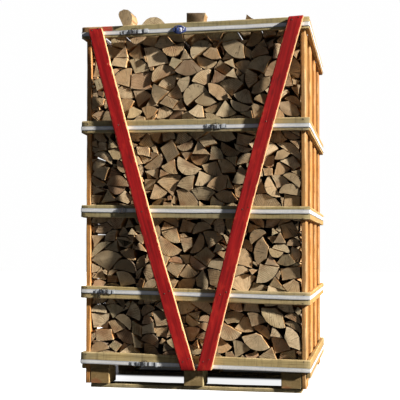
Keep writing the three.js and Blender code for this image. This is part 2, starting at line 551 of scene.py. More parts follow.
@dataclass(frozen=True)
class Bark:
    """Thin grey-brown bark with long ridges, darker furrows and a few pale lichen spots."""

    name: str = "log_bark"
    light: str = "95836c"
    dark: str = "54422f"

    def make(self) -> bpy.types.Material:
        """Builds the material.

        Returns:
            The material.
        """
        s = Surface(self.name)
        swirl = s.noise(s.place, (24, 24, 9), 4, 0.65).other("Color")
        push = {"operation": "MULTIPLY_ADD"}
        bent = s.node("ShaderNodeVectorMath", push, {0: swirl, 1: (0.03, 0.03, 0.09), 2: s.place})
        ridges = s.cells(bent, (78, 78, 7), "DISTANCE_TO_EDGE")
        torn = s.noise(s.place, (70, 70, 6), 5, 0.7)
        furrow = (ridges + (torn - 0.5) * 0.3).fade(0.2, 0.0)
        flakes = s.noise(s.place, (160, 160, 70), 4, 0.65)
        broad = s.noise(s.place, (17, 17, 8), 3)
        body = flakes.fade(0.35, 0.7).blend(shade(self.dark), shade(self.light))
        body = (s.tone[1].fade(0.5, 0.9) * 0.6).over(body, "a79c8a")
        body = (broad.fade(0.5, 0.7) * 0.5).over(body, "5e4a33")
        body = (furrow * 0.7).over(body, "2c2018")
        lichen = s.noise(s.place, (48, 48, 40), 3).fade(0.66, 0.72)
        body = (lichen * 0.5).over(body, "8d9674")
        height = (1 - furrow) * 0.7 + flakes * 0.4 + torn * 0.4
        return s.finish(body, 0.9, height, 0.003, {"Specular IOR Level": 0.2})


@dataclass(frozen=True)
class Twine:
    """Coloured plastic twine with a fine lay and scuffed highlights."""

    name: str
    colour: str
    scuffed: str

    def make(self) -> bpy.types.Material:
        """Builds the material.

        Returns:
            The material.
        """
        s = Surface(self.name)
        spot = s.spot()
        lay = s.noise(spot, (900, 900, 900), 3)
        rubs = s.noise(spot, (120, 120, 120), 3).fade(0.45, 0.7)
        body = (rubs * 0.5 + lay * 0.2).blend(shade(self.colour), shade(self.scuffed))
        return s.finish(body, 0.5, lay, 0.0006)


@dataclass(frozen=True)
class PlainSteel:
    """Drawn or stamped steel of nails and wire, a little rusted."""

    name: str
    colour: str = "7d7f80"
    rust: str = "6b4630"
    metal: float = 0.85

    def make(self) -> bpy.types.Material:
        """Builds the material.

        Returns:
            The material.
        """
        s = Surface(self.name)
        spot = s.spot()
        spots = s.noise(spot, (210, 210, 210), 4, 0.65)
        fine = s.noise(spot, (900, 900, 900), 2)
        body = (spots.fade(0.45, 0.65) * 0.7).blend(shade(self.colour), shade(self.rust))
        return s.finish(body, 0.4 + spots * 0.3, fine, 0.0003, metal=self.metal)


@dataclass(frozen=True)
class PaleFloor:
    """Smooth pale studio floor, with painted shade: black under the crate's back half and a faintly dimmer
    glow near it.
    """

    name: str = "pale_floor"

    def make(self) -> bpy.types.Material:
        """Builds the material.

        Returns:
            The material.
        """
        s = Surface(self.name)
        spot = s.spot()
        soft = s.noise(spot, (2.5, 2.5, 2.5), 3)
        away = s.node("ShaderNodeVectorMath", {"operation": "LENGTH"}, {0: spot}, "Value")
        seen = s.node("ShaderNodeLightPath", output="Is Camera Ray")
        near = soft.blend(shade("c0bfbd"), shade("c8c7c5"))
        pale = away.fade(1.5, 9.0).over(near, "f0f0f0")
        x, y, _ = s.split(spot)
        # painted shade: black under the crate's back half and a little past its left side
        under = y.fade(-0.12, -0.04) * y.fade(0.62, 0.5) * x.fade(-0.74, -0.64) * x.fade(0.56, 0.5)
        # the glow is a little dimmer near the crate than far off, a faint painted shade
        bright = away.fade(1.2, 7.0).blend(shade("f4f4f4"), shade("ffffff"))
        body = seen.blend(shade("323335"), (under * 0.98).over(pale, "000000"))
        glow = seen.blend(shade("000000"), (under * 0.98).over(bright, "000000"))
        return s.finish(body, 0.8, soft, 0.0005, {"Emission Color": glow, "Emission Strength": 1.0})


# ---- Shapes ----


@dataclass
class Solid:
    """Points and faces gathered for one piece, with what its finishes read."""

    points: list[np.ndarray] = field(default_factory=list)
    grain: list[np.ndarray] = field(default_factory=list)
    tone: list[np.ndarray] = field(default_factory=list)
    wear: list[np.ndarray] = field(default_factory=list)
    faces: list[tuple[int, ...]] = field(default_factory=list)
    finishes: list[int] = field(default_factory=list)
    count: int = 0

    def sweep(
        self,
        rings: np.ndarray,
        grain: np.ndarray,
        tone: Sequence[float],
        wear: np.ndarray,
        sides: Sequence[int],
        cap: int | None,
    ) -> None:
        """Adds a skin over a run of closed outlines.

        Args:
            rings: Points, as (outline, point, xyz).
            grain: The same points' places in the wood.
            tone: The random numbers of the board or log.
            wear: Wear of each point of an outline.
            sides: Finish of each side, from point i to point i + 1.
            cap: Finish of the two ends, or None where the run closes on itself.
        """
        runs, size, _ = rings.shape
        normal = np.cross(rings[0], np.roll(rings[0], -1, 0)).sum(0)
        ahead = rings[1].mean(0) - rings[0].mean(0)
        flip = float(normal @ ahead) > 0
        index = self.count + np.arange(runs * size).reshape(runs, size)
        after = np.roll(index, -1, 1)
        last = runs if cap is None else runs - 1
        for i in range(last):
            j = (i + 1) % runs
            quad = [index[i], index[j], after[j], after[i]]
            stacked = np.stack(quad[::-1] if flip else quad, 1)
            self.faces.extend(map(tuple, stacked.tolist()))
            self.finishes.extend(sides)
        if cap is not None:
            front, back = index[0].tolist(), index[-1].tolist()
            self.faces.append(tuple(front[::-1] if flip else front))
            self.faces.append(tuple(back if flip else back[::-1]))
            self.finishes.extend((cap, cap))
        self.points.append(rings.reshape(-1, 3))
        self.grain.append(grain.reshape(-1, 3))
        self.tone.append(np.tile(np.asarray(tone, float), (runs * size, 1)))
        self.wear.append(np.tile(wear, runs))
        self.count += runs * size

    def build(self, name: str, materials: Iterable[bpy.types.Material]) -> bpy.types.Object:
        """Makes the object, smooth but for its creases.

        Args:
            name: The object's name.
            materials: Its finishes, in the order that the faces name them.

        Returns:
            The object, at the origin.
        """
        mesh = bpy.data.meshes.new(name)
        mesh.from_pydata(np.concatenate(self.points).tolist(), [], self.faces)
        for material in materials:
            mesh.materials.append(material)
        mesh.polygons.foreach_set("material_index", self.finishes)
        for label, parts in (("grain", self.grain), ("tone", self.tone)):
            layer = mesh.attributes.new(label, "FLOAT_VECTOR", "POINT")
            layer.data.foreach_set("vector", np.concatenate(parts).astype(np.float32).ravel())
        layer = mesh.attributes.new("wear", "FLOAT", "POINT")
        layer.data.foreach_set("value", np.concatenate(self.wear).astype(np.float32))
        mesh.update()
        mesh.shade_smooth()
        mesh.set_sharp_from_angle(angle=math.radians(CREASE))
        return put(name, mesh)


def hand_over(piece: bpy.types.Object, replaced: Sequence[str] = ()) -> None:
    """Says where a finished piece rides and what it stands for.

    Args:
        piece: The finished piece.
        replaced: The CAD nodes that it stands for, if any.
    """
    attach(piece, BODY)
    if replaced:
        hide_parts(*replaced)
    LOG.info("%s: %d faces", piece.name, len(piece.data.polygons))


def wander(rng: np.random.Generator, s: np.ndarray, size: float, length: float) -> np.ndarray:
    """A slow random curve between 0 and size over the places s, with waves about as long as length.

    Args:
        rng: The random source.
        s: The places.
        size: The curve's greatest height.
        length: The length of its longest waves.

    Returns:
        The curve's height at each place.
    """
    total = np.zeros_like(s)
    for octave in (1.0, 0.52, 0.23):
        total += octave * np.sin(TURN * (s / (length * octave) + rng.random()))
    return size * (0.5 + total / 3.5)


@dataclass
class Board:
    """One sawn board, given by its middle line and its half section.

    wane is how deep the bark's curve may cut a long edge, arris and bevel how much the long edges and the
    ends are rounded, step the length between outlines, notch how far along a chip lies in the edge that
    across points to (0 for none), bow how far the middle is bent towards across, and dents how much the
    long edges are knocked in.
    """

    name: str
    start: Vector
    end: Vector
    across: Vector
    through: Vector
    wane: float = 0.0
    arris: float = 0.0022
    bevel: float = 0.0012
    step: float = 0.03
    notch: float = 0.0
    bow: float = 0.0
    dents: float = 0.022

    @staticmethod
    def in_box(name: str, along: int | None = None, **extra: Any) -> "Board":
        """A board that fills a CAD node's box, its grain along the longest side unless one is named.

        Args:
            name: The CAD node.
            along: The axis of the grain, or None for the longest.
            extra: Other fields of the board.

        Returns:
            The board.
        """
        low, high = extents(name)
        size = high - low
        order = sorted(range(3), key=lambda axis: size[axis])
        run = order[2] if along is None else along
        thin, wide = [axis for axis in order if axis != run]
        middle = (low + high) / 2
        unit = np.eye(3)
        half_run = unit[run] * size[run] / 2
        return Board(
            name,
            Vector(middle - half_run),
            Vector(middle + half_run),
            Vector(unit[wide] * size[wide] / 2),
            Vector(unit[thin] * size[thin] / 2),
            **extra,
        )

    def edges(self, rng: np.random.Generator, s: np.ndarray) -> list[tuple[np.ndarray, np.ndarray]]:
        """How far each long edge is cut back, across and through, at the places s.

        Args:
            rng: The random source.
            s: The places along the board.

        Returns:
            For each edge, how far it is cut across the board and through it.
        """
        cuts = []
        for edge in range(4):
            base = self.arris * (0.6 + rng.random()) + wander(rng, s, self.arris * 0.8, 0.11)
            dent = np.maximum(0, wander(rng, s, 1.0, 0.19) - 0.78) * self.dents
            bark = np.zeros_like(s)
            if self.wane and rng.random() < 0.45:
                bark = np.clip(wander(rng, s, 1.6, 1.3) - 0.75, 0, 1) * self.wane
            if self.notch and edge in (0, 3):
                base = base + 0.012 * np.exp(-(((s - self.notch) / 0.011) ** 2))
            cuts.append((base + dent * 0.6 + bark, base + dent * 0.4 + bark * 0.55))
        return cuts

    def build(
        self,
        finishes: list[bpy.types.Material],
        slot: Slot,
        ending: str = "_sawn",
        sides: Sequence[int] = (0, 0, 0, 0),
    ) -> None:
        """Builds the board as a piece that stands for the CAD node of its name.

        Args:
            finishes: Its finishes; the second is its two ends'.
            slot: Not used.
            ending: What its name has after the node's.
            sides: Which finish the sides that face +across, +through, -across and -through have.
        """
        rng = dice(self.name)
        axis = self.end - self.start
        length = axis.length
        count = max(4, round(length / self.step))
        inner = np.linspace(self.bevel * 1.5, length - self.bevel * 1.5, count)
        if self.notch:
            inner = np.sort(np.append(inner, self.notch + np.linspace(-0.018, 0.018, 9)))
        s = np.concatenate([[0.0], inner, [length]])
        half_u, half_v = self.across.length, self.through.length
        shrink = np.zeros_like(s)
        shrink[[0, -1]] = self.bevel
        right, left = (half_u - wander(rng, s, 0.0018, 0.5) - shrink for _ in range(2))
        top, bottom = (half_v - wander(rng, s, 0.0012, 0.35) - shrink for _ in range(2))
        most = half_u * 0.8, half_v * 0.8
        cuts = [(np.minimum(du, most[0]), np.minimum(dv, most[1])) for du, dv in self.edges(rng, s)]
        outline: list[tuple[np.ndarray, np.ndarray, float, int]] = []

        def corner(
            index: int, side_u: np.ndarray, side_v: np.ndarray, first_on_u: bool, finish: int
        ) -> None:
            """Adds the three points of one rounded edge.

            Args:
                index: Which edge.
                side_u: Half the width on its side.
                side_v: Half the thickness on its side.
                first_on_u: Whether the narrow side comes first.
                finish: The finish of the side that follows.
            """
            du, dv = cuts[index]
            sign_u, sign_v = (1 if side_u is right else -1), (1 if side_v is top else -1)
            on_u = (sign_u * side_u, sign_v * (side_v - dv))
            middle = (sign_u * (side_u - 0.29 * du), sign_v * (side_v - 0.29 * dv))
            on_v = (sign_u * (side_u - du), sign_v * side_v)
            first, last = (on_u, on_v) if first_on_u else (on_v, on_u)
            before = sides[0 if side_u is right else 2] if first_on_u else sides[1 if side_v is top else 3]
            for (u, v), side in ((first, before), (middle, finish), (last, finish)):
                outline.append((u, v, 1.0, side))

        def face(start: np.ndarray, stop: np.ndarray, level: np.ndarray, sign: int, finish: int) -> None:
            """Adds the points between two edges of a wide face, a little hollow here and there.

            Args:
                start: Where the face starts.
                stop: Where it ends.
                level: Half the thickness there.
                sign: 1 for the top, -1 for the bottom.
                finish: The face's finish.
            """
            for t in (0.08, 0.36, 0.64, 0.92):
                hollow = wander(rng, s, 0.0007, 0.16) if 0.1 < t < 0.9 else 0.0
                outline.append((start + (stop - start) * t, sign * (level - hollow), 0.0, finish))

        def edge(start: np.ndarray, stop: np.ndarray, level: np.ndarray, finish: int) -> None:
            """Adds the points that keep a narrow face flat between its rounded edges.

            Args:
                start: Where the side starts.
                stop: Where it ends.
                level: How far out it stands.
                finish: The side's finish.
            """
            for t in (0.1, 0.9):
                outline.append((level, start + (stop - start) * t, 0.0, finish))

        corner(0, right, top, True, sides[1])
        face(right - cuts[0][0], -(left - cuts[1][0]), top, 1, sides[1])
        corner(1, left, top, False, sides[2])
        edge(top - cuts[1][1], -(bottom - cuts[2][1]), -left, sides[2])
        corner(2, left, bottom, True, sides[3])
        face(-(left - cuts[2][0]), right - cuts[3][0], bottom, -1, sides[3])
        corner(3, right, bottom, False, sides[0])
        edge(-(bottom - cuts[3][1]), top - cuts[0][1], right, sides[0])
        u = np.stack([part[0] for part in outline], 1)
        v = np.stack([part[1] for part in outline], 1)
        wear = np.array([part[2] for part in outline])
        square = rng.uniform(0, 0.004, 2)
        share = u / half_u * 0.5 + 0.5
        place = s[:, None] + square[0] * share * (1 - s / length)[:, None]
        place = place - square[1] * (1 - share) * (s / length)[:, None]
        unit_s, unit_u, unit_v = (np.array(w.normalized()) for w in (axis, self.across, self.through))
        u = u + self.bow * np.sin(math.pi * s / length)[:, None]
        rings = np.array(self.start) + place[..., None] * unit_s
        rings = rings + u[..., None] * unit_u + v[..., None] * unit_v
        true_u = np.cross(unit_v, unit_s)
        true_u *= math.copysign(1.0, float(true_u @ unit_u)) / np.linalg.norm(true_u)
        offset = rings - np.array(self.start)
        grain = np.stack([offset @ unit_s, offset @ true_u, offset @ unit_v], -1)
        solid = Solid()
        solid.sweep(rings, grain, rng.random(3), wear, [part[3] for part in outline], 1)
        hand_over(solid.build(self.name + ending, finishes), [self.name])


# ---- Pallet, walls and bands ----


def tall(node: str) -> float:
    """The height of a CAD node's box."""
    low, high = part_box(node)
    return high[2] - low[2]


def level_sizes(level: str) -> tuple[float, float, float]:
    """The heights of a level's back and front boards, and how far the front one's ends stand off level."""
    slope = (tall(f"strap_{level}") - Straps.width) / 2
    return tall(f"band_{level}_back"), tall(f"band_{level}_front") - 2 * slope, slope


@dataclass
class Pallet:
    """Skids, blocks, stringers and deck boards, all rough-sawn and grey."""

    wane: float = 0.004

    def build(self) -> None:
        """Builds every board and block of the pallet."""
        colours = ("c6b084", "9c8252", "a5a078", "868270")
        finishes = [
            SawnTimber("pallet_wood", *colours, weathering=0.6, chatter=0.45).make(),
            SawnTimber("pallet_end_grain", "a08a5c", "77603a", "8f845c", "6c664e", end_grain=True).make(),
        ]
        for name in sorted(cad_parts):
            if name.startswith(("skid_", "stringer_", "deck_board_")):
                board = Board.in_box(name, wane=self.wane)
            elif name.startswith("block_"):
                board = Board.in_box(name, along=1, arris=0.003, bevel=0.0025, step=0.02)
            else:
                continue
            board.build(finishes, Slot.PALLET)


@dataclass
class SideWalls:
    """Four upright boards on each side."""

    wane: float = 0.012

    def build(self) -> None:
        """Builds the eight upright boards."""
        colours = ("c8924f", "a0602a", "a08c5a", "85795c")
        finishes = [
            SawnTimber("slat_wood", *colours, weathering=0.38, chatter=0.24).make(),
            SawnTimber("slat_end_grain", "b98d56", "936232", "a08458", "7a705c", end_grain=True).make(),
        ]
        for side in ("left", "right"):
            for number in range(1, 5):
                Board.in_box(f"slat_{side}_{number}", wane=self.wane).build(finishes, Slot.SLAT)


@dataclass
class Bands:
    """The boards nailed round the crate at each level; the front ones lean a little."""

    smear: tuple[float, float] = (0.109, 0.163)  # where red paint ran over the top front board
    wane: float = 0.007

    def boards(self, level: str) -> list[Board]:
        """The four boards of a level.

        Args:
            level: The level's name.

        Returns:
            Its boards.
        """
        height, front_height, slope = level_sizes(level)
        boards = []
        for side in ("front", "back", "left", "right"):
            name = f"band_{level}_{side}"
            low, high = extents(name, Vector)
            middle = (low + high) / 2
            upright = Vector((0, 0, (front_height if side == "front" else height) / 2))
            if side in ("front", "back"):
                lean = slope if side == "front" else 0.0
                start = Vector((low.x, middle.y, middle.z + lean))
                end = Vector((high.x, middle.y, middle.z - lean))
                thick = Vector((0, (high.y - low.y) / 2, 0))
            else:
                heights = [high.z - height / 2, low.z + height / 2]
                if side == "right":
                    heights.reverse()
                start, end = Vector((middle.x, low.y, heights[0])), Vector((middle.x, high.y, heights[1]))
                thick = Vector(((high.x - low.x) / 2, 0, 0))
            boards.append(Board(name, start, end, upright, thick, wane=self.wane, bevel=0.0018))
        return boards

    def build(self) -> None:
        """Builds the twenty boards."""
        colours = ("bfae7e", "97824f", "a09b6e", "82816e")
        green = {"weathering": 0.5, "chatter": 0.42}
        plain = SawnTimber("band_wood", *colours, **green).make()
        ends = SawnTimber("band_end_grain", "b89c68", "8d7040", "9e8d62", "7c745e", end_grain=True).make()
        smeared = SawnTimber("band_wood_smeared", *colours, **green, smear=self.smear).make()
        warm = ("c4995c", "9a6c36", "a88c58", "857a5c")
        side = SawnTimber("band_wood_side", *warm, weathering=0.42, chatter=0.3).make()
        for level in LEVELS:
            for board in self.boards(level):
                wood = smeared if board.name == "band_top_front" else plain
                if board.name.endswith(("_left", "_right")):
                    wood = side
                board.build([wood, ends], Slot.BAND)


@dataclass
class Braces:
    """Two boards painted red on the front and left bare on their right edges."""

    width: float = 0.071
    bow: float = -0.011
    notch: float = 1.58  # only in the left one

    def board(self, name: str) -> Board:
        """The leaning board that fits a brace's box, cut level at both ends.

        Args:
            name: The brace's CAD node.

        Returns:
            The board.
        """
        low, high = extents(name, Vector)
        run, rise = high.x - low.x, high.z - low.z
        lean = 0.0
        for _ in range(21):  # the lean and the length of the level cuts settle on each other
            lean = math.atan2(run - self.width / math.cos(lean), rise)
        half = self.width / math.cos(lean) / 2
        y = (low.y + high.y) / 2
        foot, head, notch = low.x + half, high.x - half, 0.0
        if name.endswith("left"):
            foot, head, notch = head, foot, self.notch
        start, end = Vector((foot, y, low.z)), Vector((head, y, high.z))
        across, thick = Vector((half, 0, 0)), Vector((0, (low.y - high.y) / 2, 0))
        shape = {"arris": 0.0016, "bevel": 0.0018, "notch": notch, "bow": self.bow, "dents": 0.004}
        return Board(name, start, end, across, thick, **shape)

    def build(self) -> None:
        """Builds the two braces."""
        finishes = [
            BrushedPaint().make(),
            SawnTimber("brace_bare_wood", "e6bd90", "cb9660", "d6b182", "ac9474", weathering=0.15).make(),
        ]
        for name in ("brace_left", "brace_right"):
            self.board(name).build(finishes, Slot.PAINT, "_painted", (1, 0, 0, 1))


# ---- Straps, buckles, nails and tie ----


@dataclass
class Straps:
    """Steel straps pulled round the levels, each closed by a wire buckle at the front."""

    width: float = 0.02
    thickness: float = 0.0009
    corner: float = 0.004
    points: int = 30  # on each of the four straight runs
    buckles: dict[str, tuple[float, float]] = field(
        default_factory=lambda: {
            "base": (-0.305, -0.18),
            "lower": (-0.492, -0.402),
            "middle": (-0.376, -0.337),
            "upper": (0.07, 0.165),
            "top": (-0.362, -0.23),
        }
    )

    def path(self, level: str) -> tuple[np.ndarray, np.ndarray]:
        """A level's strap from the front left corner: its closed middle line and its outward directions.

        Args:
            level: The level's name.

        Returns:
            The middle line and, at each of its points, the way out.
        """
        low, high = extents(f"strap_{level}")
        _, _, slope = level_sizes(level)
        half = self.thickness / 2
        x0, y0 = low[0] + half, low[1] + half
        x1, y1 = high[0] - half, high[1] - half
        middle = (low[2] + high[2]) / 2
        places, facings = [], []
        ends = [((x0, y0), (x1, y0)), ((x1, y0), (x1, y1)), ((x1, y1), (x0, y1)), ((x0, y1), (x0, y0))]
        for (ax, ay), (bx, by) in ends:
            start, stop = np.array([ax, ay]), np.array([bx, by])
            run = (stop - start) / np.linalg.norm(stop - start)
            out = np.array([run[1], -run[0]])
            inner = start + run * self.corner, stop - run * self.corner
            for t in np.linspace(0, 1, self.points):
                places.append(inner[0] + (inner[1] - inner[0]) * t)
                facings.append(out)
            centre = stop - run * self.corner - out * self.corner
            for angle in (22.5, 45, 67.5):
                turn = math.radians(angle)
                facing = out * math.cos(turn) + run * math.sin(turn)
                places.append(centre + facing * self.corner)
                facings.append(facing)
        flat, out = np.array(places), np.array(facings)
        forward = np.clip((y1 - flat[:, 1]) / (y1 - y0), 0, 1)
        lean = -slope * np.clip(flat[:, 0] / x1, -1, 1) * forward
        return np.column_stack([flat, middle + lean]), np.column_stack([out, np.zeros(len(out))])

    def front(self, level: str) -> np.ndarray:
        """The part of a level's strap that runs along the front."""
        return self.path(level)[0][: self.points]

    def build_strap(self, level: str, finish: bpy.types.Material) -> None:
        """Builds one strap with a faint ripple.

        Args:
            level: The level's name.
            finish: The strap's finish.
        """
        rng = dice("strap" + level)
        path, out = self.path(level)
        steps = np.linalg.norm(np.diff(path, axis=0, append=path[:1]), axis=1)
        s = np.concatenate([[0.0], np.cumsum(steps)[:-1]])
        lift = wander(rng, s, 0.0006, 0.21)
        sway = (wander(rng, s, 1.0, 0.4) - 0.5) * 0.0016
        twist = (wander(rng, s, 1.0, 0.33) - 0.5) * 0.0007
        half, thick = self.width / 2, self.thickness / 2
        crown = [(-1, 0.55), (-0.55, 0.9), (0, 1.0), (0.55, 0.9), (1, 0.55)]
        profile = crown + [(1, -0.6), (0, -1.0), (-1, -0.6)]
        rings = np.zeros((len(path), len(profile), 3))
        for i, (v, rise) in enumerate(profile):
            depth = rise * thick + lift + twist * v
            rings[:, i] = path + out * depth[:, None] + np.array([0, 0, 1.0]) * (v * half + sway)[:, None]
        grain = np.zeros_like(rings)
        grain[..., 0] = s[:, None]
        grain[..., 1] = [p[0] * half for p in profile]
        wear = np.array([1.0 if abs(p[0]) == 1 else 0.0 for p in profile])
        solid = Solid()
        solid.sweep(rings, grain, rng.random(3), wear, [0] * len(profile), None)
        LOG.info("strap_%s: %.2f m round", level, steps.sum())
        hand_over(solid.build(f"strap_{level}_pulled", [finish]), [f"strap_{level}"])

    def build_folds(self, level: str, finish: bpy.types.Material) -> None:
        """Builds the strap's two ends, turned back through the buckle and left a little lifted.

        Args:
            level: The level's name.
            finish: A paler copy of the strap's finish, a painted highlight.
        """
        rng = dice("fold" + level)
        front = self.front(level)
        left, right = self.buckles[level]
        solid = Solid()
        middle = (left + right) / 2
        for side, reach in ((-1, middle - left), (1, right - middle)):
            count = 26
            t = np.linspace(0, 1, count)
            x = middle + side * (0.004 + t * reach)
            sway = 0.0035 * np.sin(t * rng.uniform(3, 6) + rng.uniform(0, 6)) * t
            z = np.interp(x, front[:, 0], front[:, 2]) + sway
            waves = np.sin(TURN * (t * reach / rng.uniform(0.06, 0.09) + rng.random()))
            turn = 0.13 * waves * np.sin(math.pi * t) ** 0.5
            half = self.width / 2 * 0.94
            phase = (x / rng.uniform(0.024, 0.032) + rng.random()) % 1.0
            crinkle = np.minimum(phase / 0.18, (1 - phase) / 0.82)
            lift = 0.0018 + half * np.abs(np.sin(turn)) + 0.0026 * crinkle
            profile = ((-1, -0.5), (0, -0.6), (1, -0.5), (1, 0.5), (0, 0.6), (-1, 0.5))
            rings = np.zeros((count, len(profile), 3))
            for i, (v, depth) in enumerate(profile):
                rings[:, i, 0] = x
                rings[:, i, 1] = front[0, 1] - lift + v * half * np.sin(turn) - depth * self.thickness
                rings[:, i, 2] = z + v * half * np.cos(turn)
            grain = rings[..., [0, 2, 1]]
            solid.sweep(rings, grain, rng.random(3), np.zeros(len(profile)), [0] * len(profile), 0)
        hand_over(solid.build(f"strap_{level}_folds", [finish]))

    def build(self) -> None:
        """Builds the straps and their turned ends."""
        finish = Galvanised().make()
        # the turned ends get a paler copy of the strap's finish, a painted highlight
        fold_finish_painted_highlight = Galvanised("galvanised_fold", "fbfdff", "bcc8d0", roughness=0.42).make()
        for level in LEVELS:
            self.build_strap(level, finish)
            self.build_folds(level, fold_finish_painted_highlight)


class Growth(Graph):
    """A Geometry Nodes tree with named inputs, run once on a mesh to give a plain piece."""

    def __init__(self, name: str, inputs: dict[str, str]) -> None:
        """Makes the tree's sockets.

        Args:
            name: The tree's name.
            inputs: Its inputs beside the geometry, each with its kind, such as "Float".
        """
        super().__init__(bpy.data.node_groups.new(name, "GeometryNodeTree"))
        face = self.tree.interface
        face.new_socket("Geometry", in_out="OUTPUT", socket_type="NodeSocketGeometry")
        face.new_socket("Geometry", in_out="INPUT", socket_type="NodeSocketGeometry")
        self.keys = {}
        for label, kind in inputs.items():
            socket = face.new_socket(label, in_out="INPUT", socket_type="NodeSocket" + kind)
            self.keys[label] = socket.identifier
        self.given = self.node("NodeGroupInput", output="Geometry")

    def end(self, geometry: Wire, material: bpy.types.Material) -> None:
        """Makes the geometry real, gives it its finish and hands it out.

        Args:
            geometry: What the tree has made.
            material: Its finish.
        """
        real = self.node("GeometryNodeRealizeInstances", values={"Geometry": geometry})
        dressed = self.node("GeometryNodeSetMaterial", values={"Geometry": real, "Material": material})
        self.node("NodeGroupOutput", values={0: dressed})

    def grow(self, name: str, mesh: bpy.types.Mesh, inputs: dict[str, float]) -> bpy.types.Object:
        """Runs the tree on a mesh and keeps the plain result.

        Args:
            name: The piece's name.
            mesh: What the tree starts from.
            inputs: The tree's inputs, by name.

        Returns:
            The piece, a plain mesh object at the origin.
        """
        seed = put(name + "_seed", mesh)
        modifier = seed.modifiers.new("nodes", "NODES")
        modifier.node_group = self.tree
        for label, value in inputs.items():
            modifier[self.keys[label]] = value
        bpy.context.view_layer.update()
        evaluated = seed.evaluated_get(bpy.context.evaluated_depsgraph_get())
        result = bpy.data.meshes.new_from_object(evaluated)
        seed.modifiers.remove(modifier)
        bpy.data.objects.remove(seed)
        result.name = name
        return put(name, result)


class PathTree(Growth):
    """Lays strands along a line of points."""

    def __init__(self, name: str, strands: int, material: bpy.types.Material) -> None:
        """Builds the tree.

        Args:
            name: The tree's name.
            strands: How many strands are laid together.
            material: Their finish.
        """
        super().__init__(name, {"Strand radius": "Float", "Turn a point": "Float"})
        radius, lay = self.given.other("Strand radius"), self.given.other("Turn a point")
        curve = self.node("GeometryNodeMeshToCurve", values={"Mesh": self.given})
        number = self.node("GeometryNodeInputIndex")
        tilted = self.node("GeometryNodeSetCurveTilt", values={"Curve": curve, "Tilt": number * lay})
        profile = self.node("GeometryNodeCurvePrimitiveCircle", values={"Resolution": 8, "Radius": radius})
        if strands > 1:
            ring = self.node("GeometryNodeMeshCircle", values={"Vertices": strands, "Radius": radius * 1.1})
            laid = self.node("GeometryNodeInstanceOnPoints", values={"Points": ring, "Instance": profile})
            profile = self.node("GeometryNodeRealizeInstances", values={"Geometry": laid})
        parts = {"Curve": tilted, "Profile Curve": profile, "Fill Caps": True}
        swept = self.node("GeometryNodeCurveToMesh", values=parts)
        self.end(self.node("GeometryNodeSetShadeSmooth", values={"Geometry": swept}), material)


class NailTree(Growth):
    """Sets a domed nail head on every point, along its `facing`."""

    def __init__(self, material: bpy.types.Material) -> None:
        """Builds the tree with the heads' finish.

        Args:
            material: The heads' finish.
        """
        inputs = {"Head radius": "Float", "Head height": "Float", "Seed": "Int"}
        super().__init__("nail_heads", inputs)
        radius, height, seed = (self.given.other(label) for label in inputs)
        cone = {"Vertices": 12, "Radius Top": radius * 0.72, "Radius Bottom": radius, "Depth": height}
        head = self.node("GeometryNodeMeshCone", values=cone)
        vector = {"data_type": "FLOAT_VECTOR"}
        facing = self.node("GeometryNodeInputNamedAttribute", vector, {"Name": "facing"})
        rotation = self.node("FunctionNodeAlignRotationToVector", {"axis": "Z"}, {"Vector": facing})
        sizes = {2: 0.88, 3: 1.1, "Seed": seed}
        size = self.node("FunctionNodeRandomValue", {"data_type": "FLOAT"}, sizes, 1)
        placed = {"Points": self.given, "Instance": head, "Rotation": rotation, "Scale": size}
        self.end(self.node("GeometryNodeInstanceOnPoints", values=placed), material)


def line_mesh(name: str, lines: Iterable[np.ndarray], closed: bool) -> bpy.types.Mesh:
    """A mesh of bare edges along each run of points.

    Args:
        name: The mesh's name.
        lines: The runs of points.
        closed: Whether each run's end joins its start.

    Returns:
        The mesh.
    """
    points: list[list[float]] = []
    edges: list[tuple[int, int]] = []
    for line in lines:
        base = len(points)
        points.extend(line.tolist())
        edges.extend((base + i, base + i + 1) for i in range(len(line) - 1))
        if closed:
            edges.append((base + len(line) - 1, base))
    mesh = bpy.data.meshes.new(name)
    mesh.from_pydata(points, edges, [])
    return mesh


@dataclass
class Buckles:
    """Bent-wire buckles on the straps, and the loose wire tails that hang from one of them."""

    length: float = 0.02
    height: float = 0.03
    wire: float = 0.0014

    def loop(self, x: float, y: float, z: float) -> np.ndarray:
        """A rounded wire loop seen from the front.

        Args:
            x: Its middle's place across.
            y: Its middle's place front to back.
            z: Its middle's height.

        Returns:
            The points along its wire.
        """
        angles = np.linspace(0, TURN, 28, endpoint=False)
        power = 0.45
        cosine, sine = np.cos(angles), np.sin(angles)
        across = np.sign(cosine) * np.abs(cosine) ** power * self.length / 2
        up = np.sign(sine) * np.abs(sine) ** power * self.height / 2
        lift = -0.002 * np.abs(cosine)
        return np.column_stack([x + across, y + lift, z + up])

    def build(self, straps: Straps) -> None:
        """Builds every buckle's wire.

        Args:
            straps: The straps that the buckles close.
        """
        material = PlainSteel("dark_wire", "34373a", "4a3426", metal=0.7).make()
        tree = PathTree("bent_wire", 1, material)
        loops, tails = [], []
        for level, (left, right) in straps.buckles.items():
            front = straps.front(level)
            x = (left + right) / 2
            z = float(np.interp(x, front[:, 0], front[:, 2]))
            y = front[0, 1] - 0.0075
            loops.append(self.loop(x - 0.006, y, z))
            loops.append(self.loop(x + 0.007, y - 0.0015, z + 0.0005))
        front = straps.front("lower")
        x0 = straps.buckles["lower"][0]
        z0 = float(np.interp(x0, front[:, 0], front[:, 2]))
        for reach, drop, bow in ((0.03, 0.034, 0.006), (0.014, 0.046, 0.009)):
            t = np.linspace(0, 1, 14)
            x = x0 + 0.03 - reach * t - 0.004 * np.sin(t * 5)
            y = front[0, 1] - 0.004 - bow * np.sin(t * math.pi * 0.9)
            tails.append(np.column_stack([x, y, z0 - 0.004 - drop * t**1.3]))
        for name, lines, share in (("loops", loops, 1.0), ("tails", tails, 0.7)):
            mesh = line_mesh(name, lines, name == "loops")
            inputs = {"Strand radius": self.wire * share, "Turn a point": 0.0}
            hand_over(tree.grow("buckle_" + name, mesh, inputs))


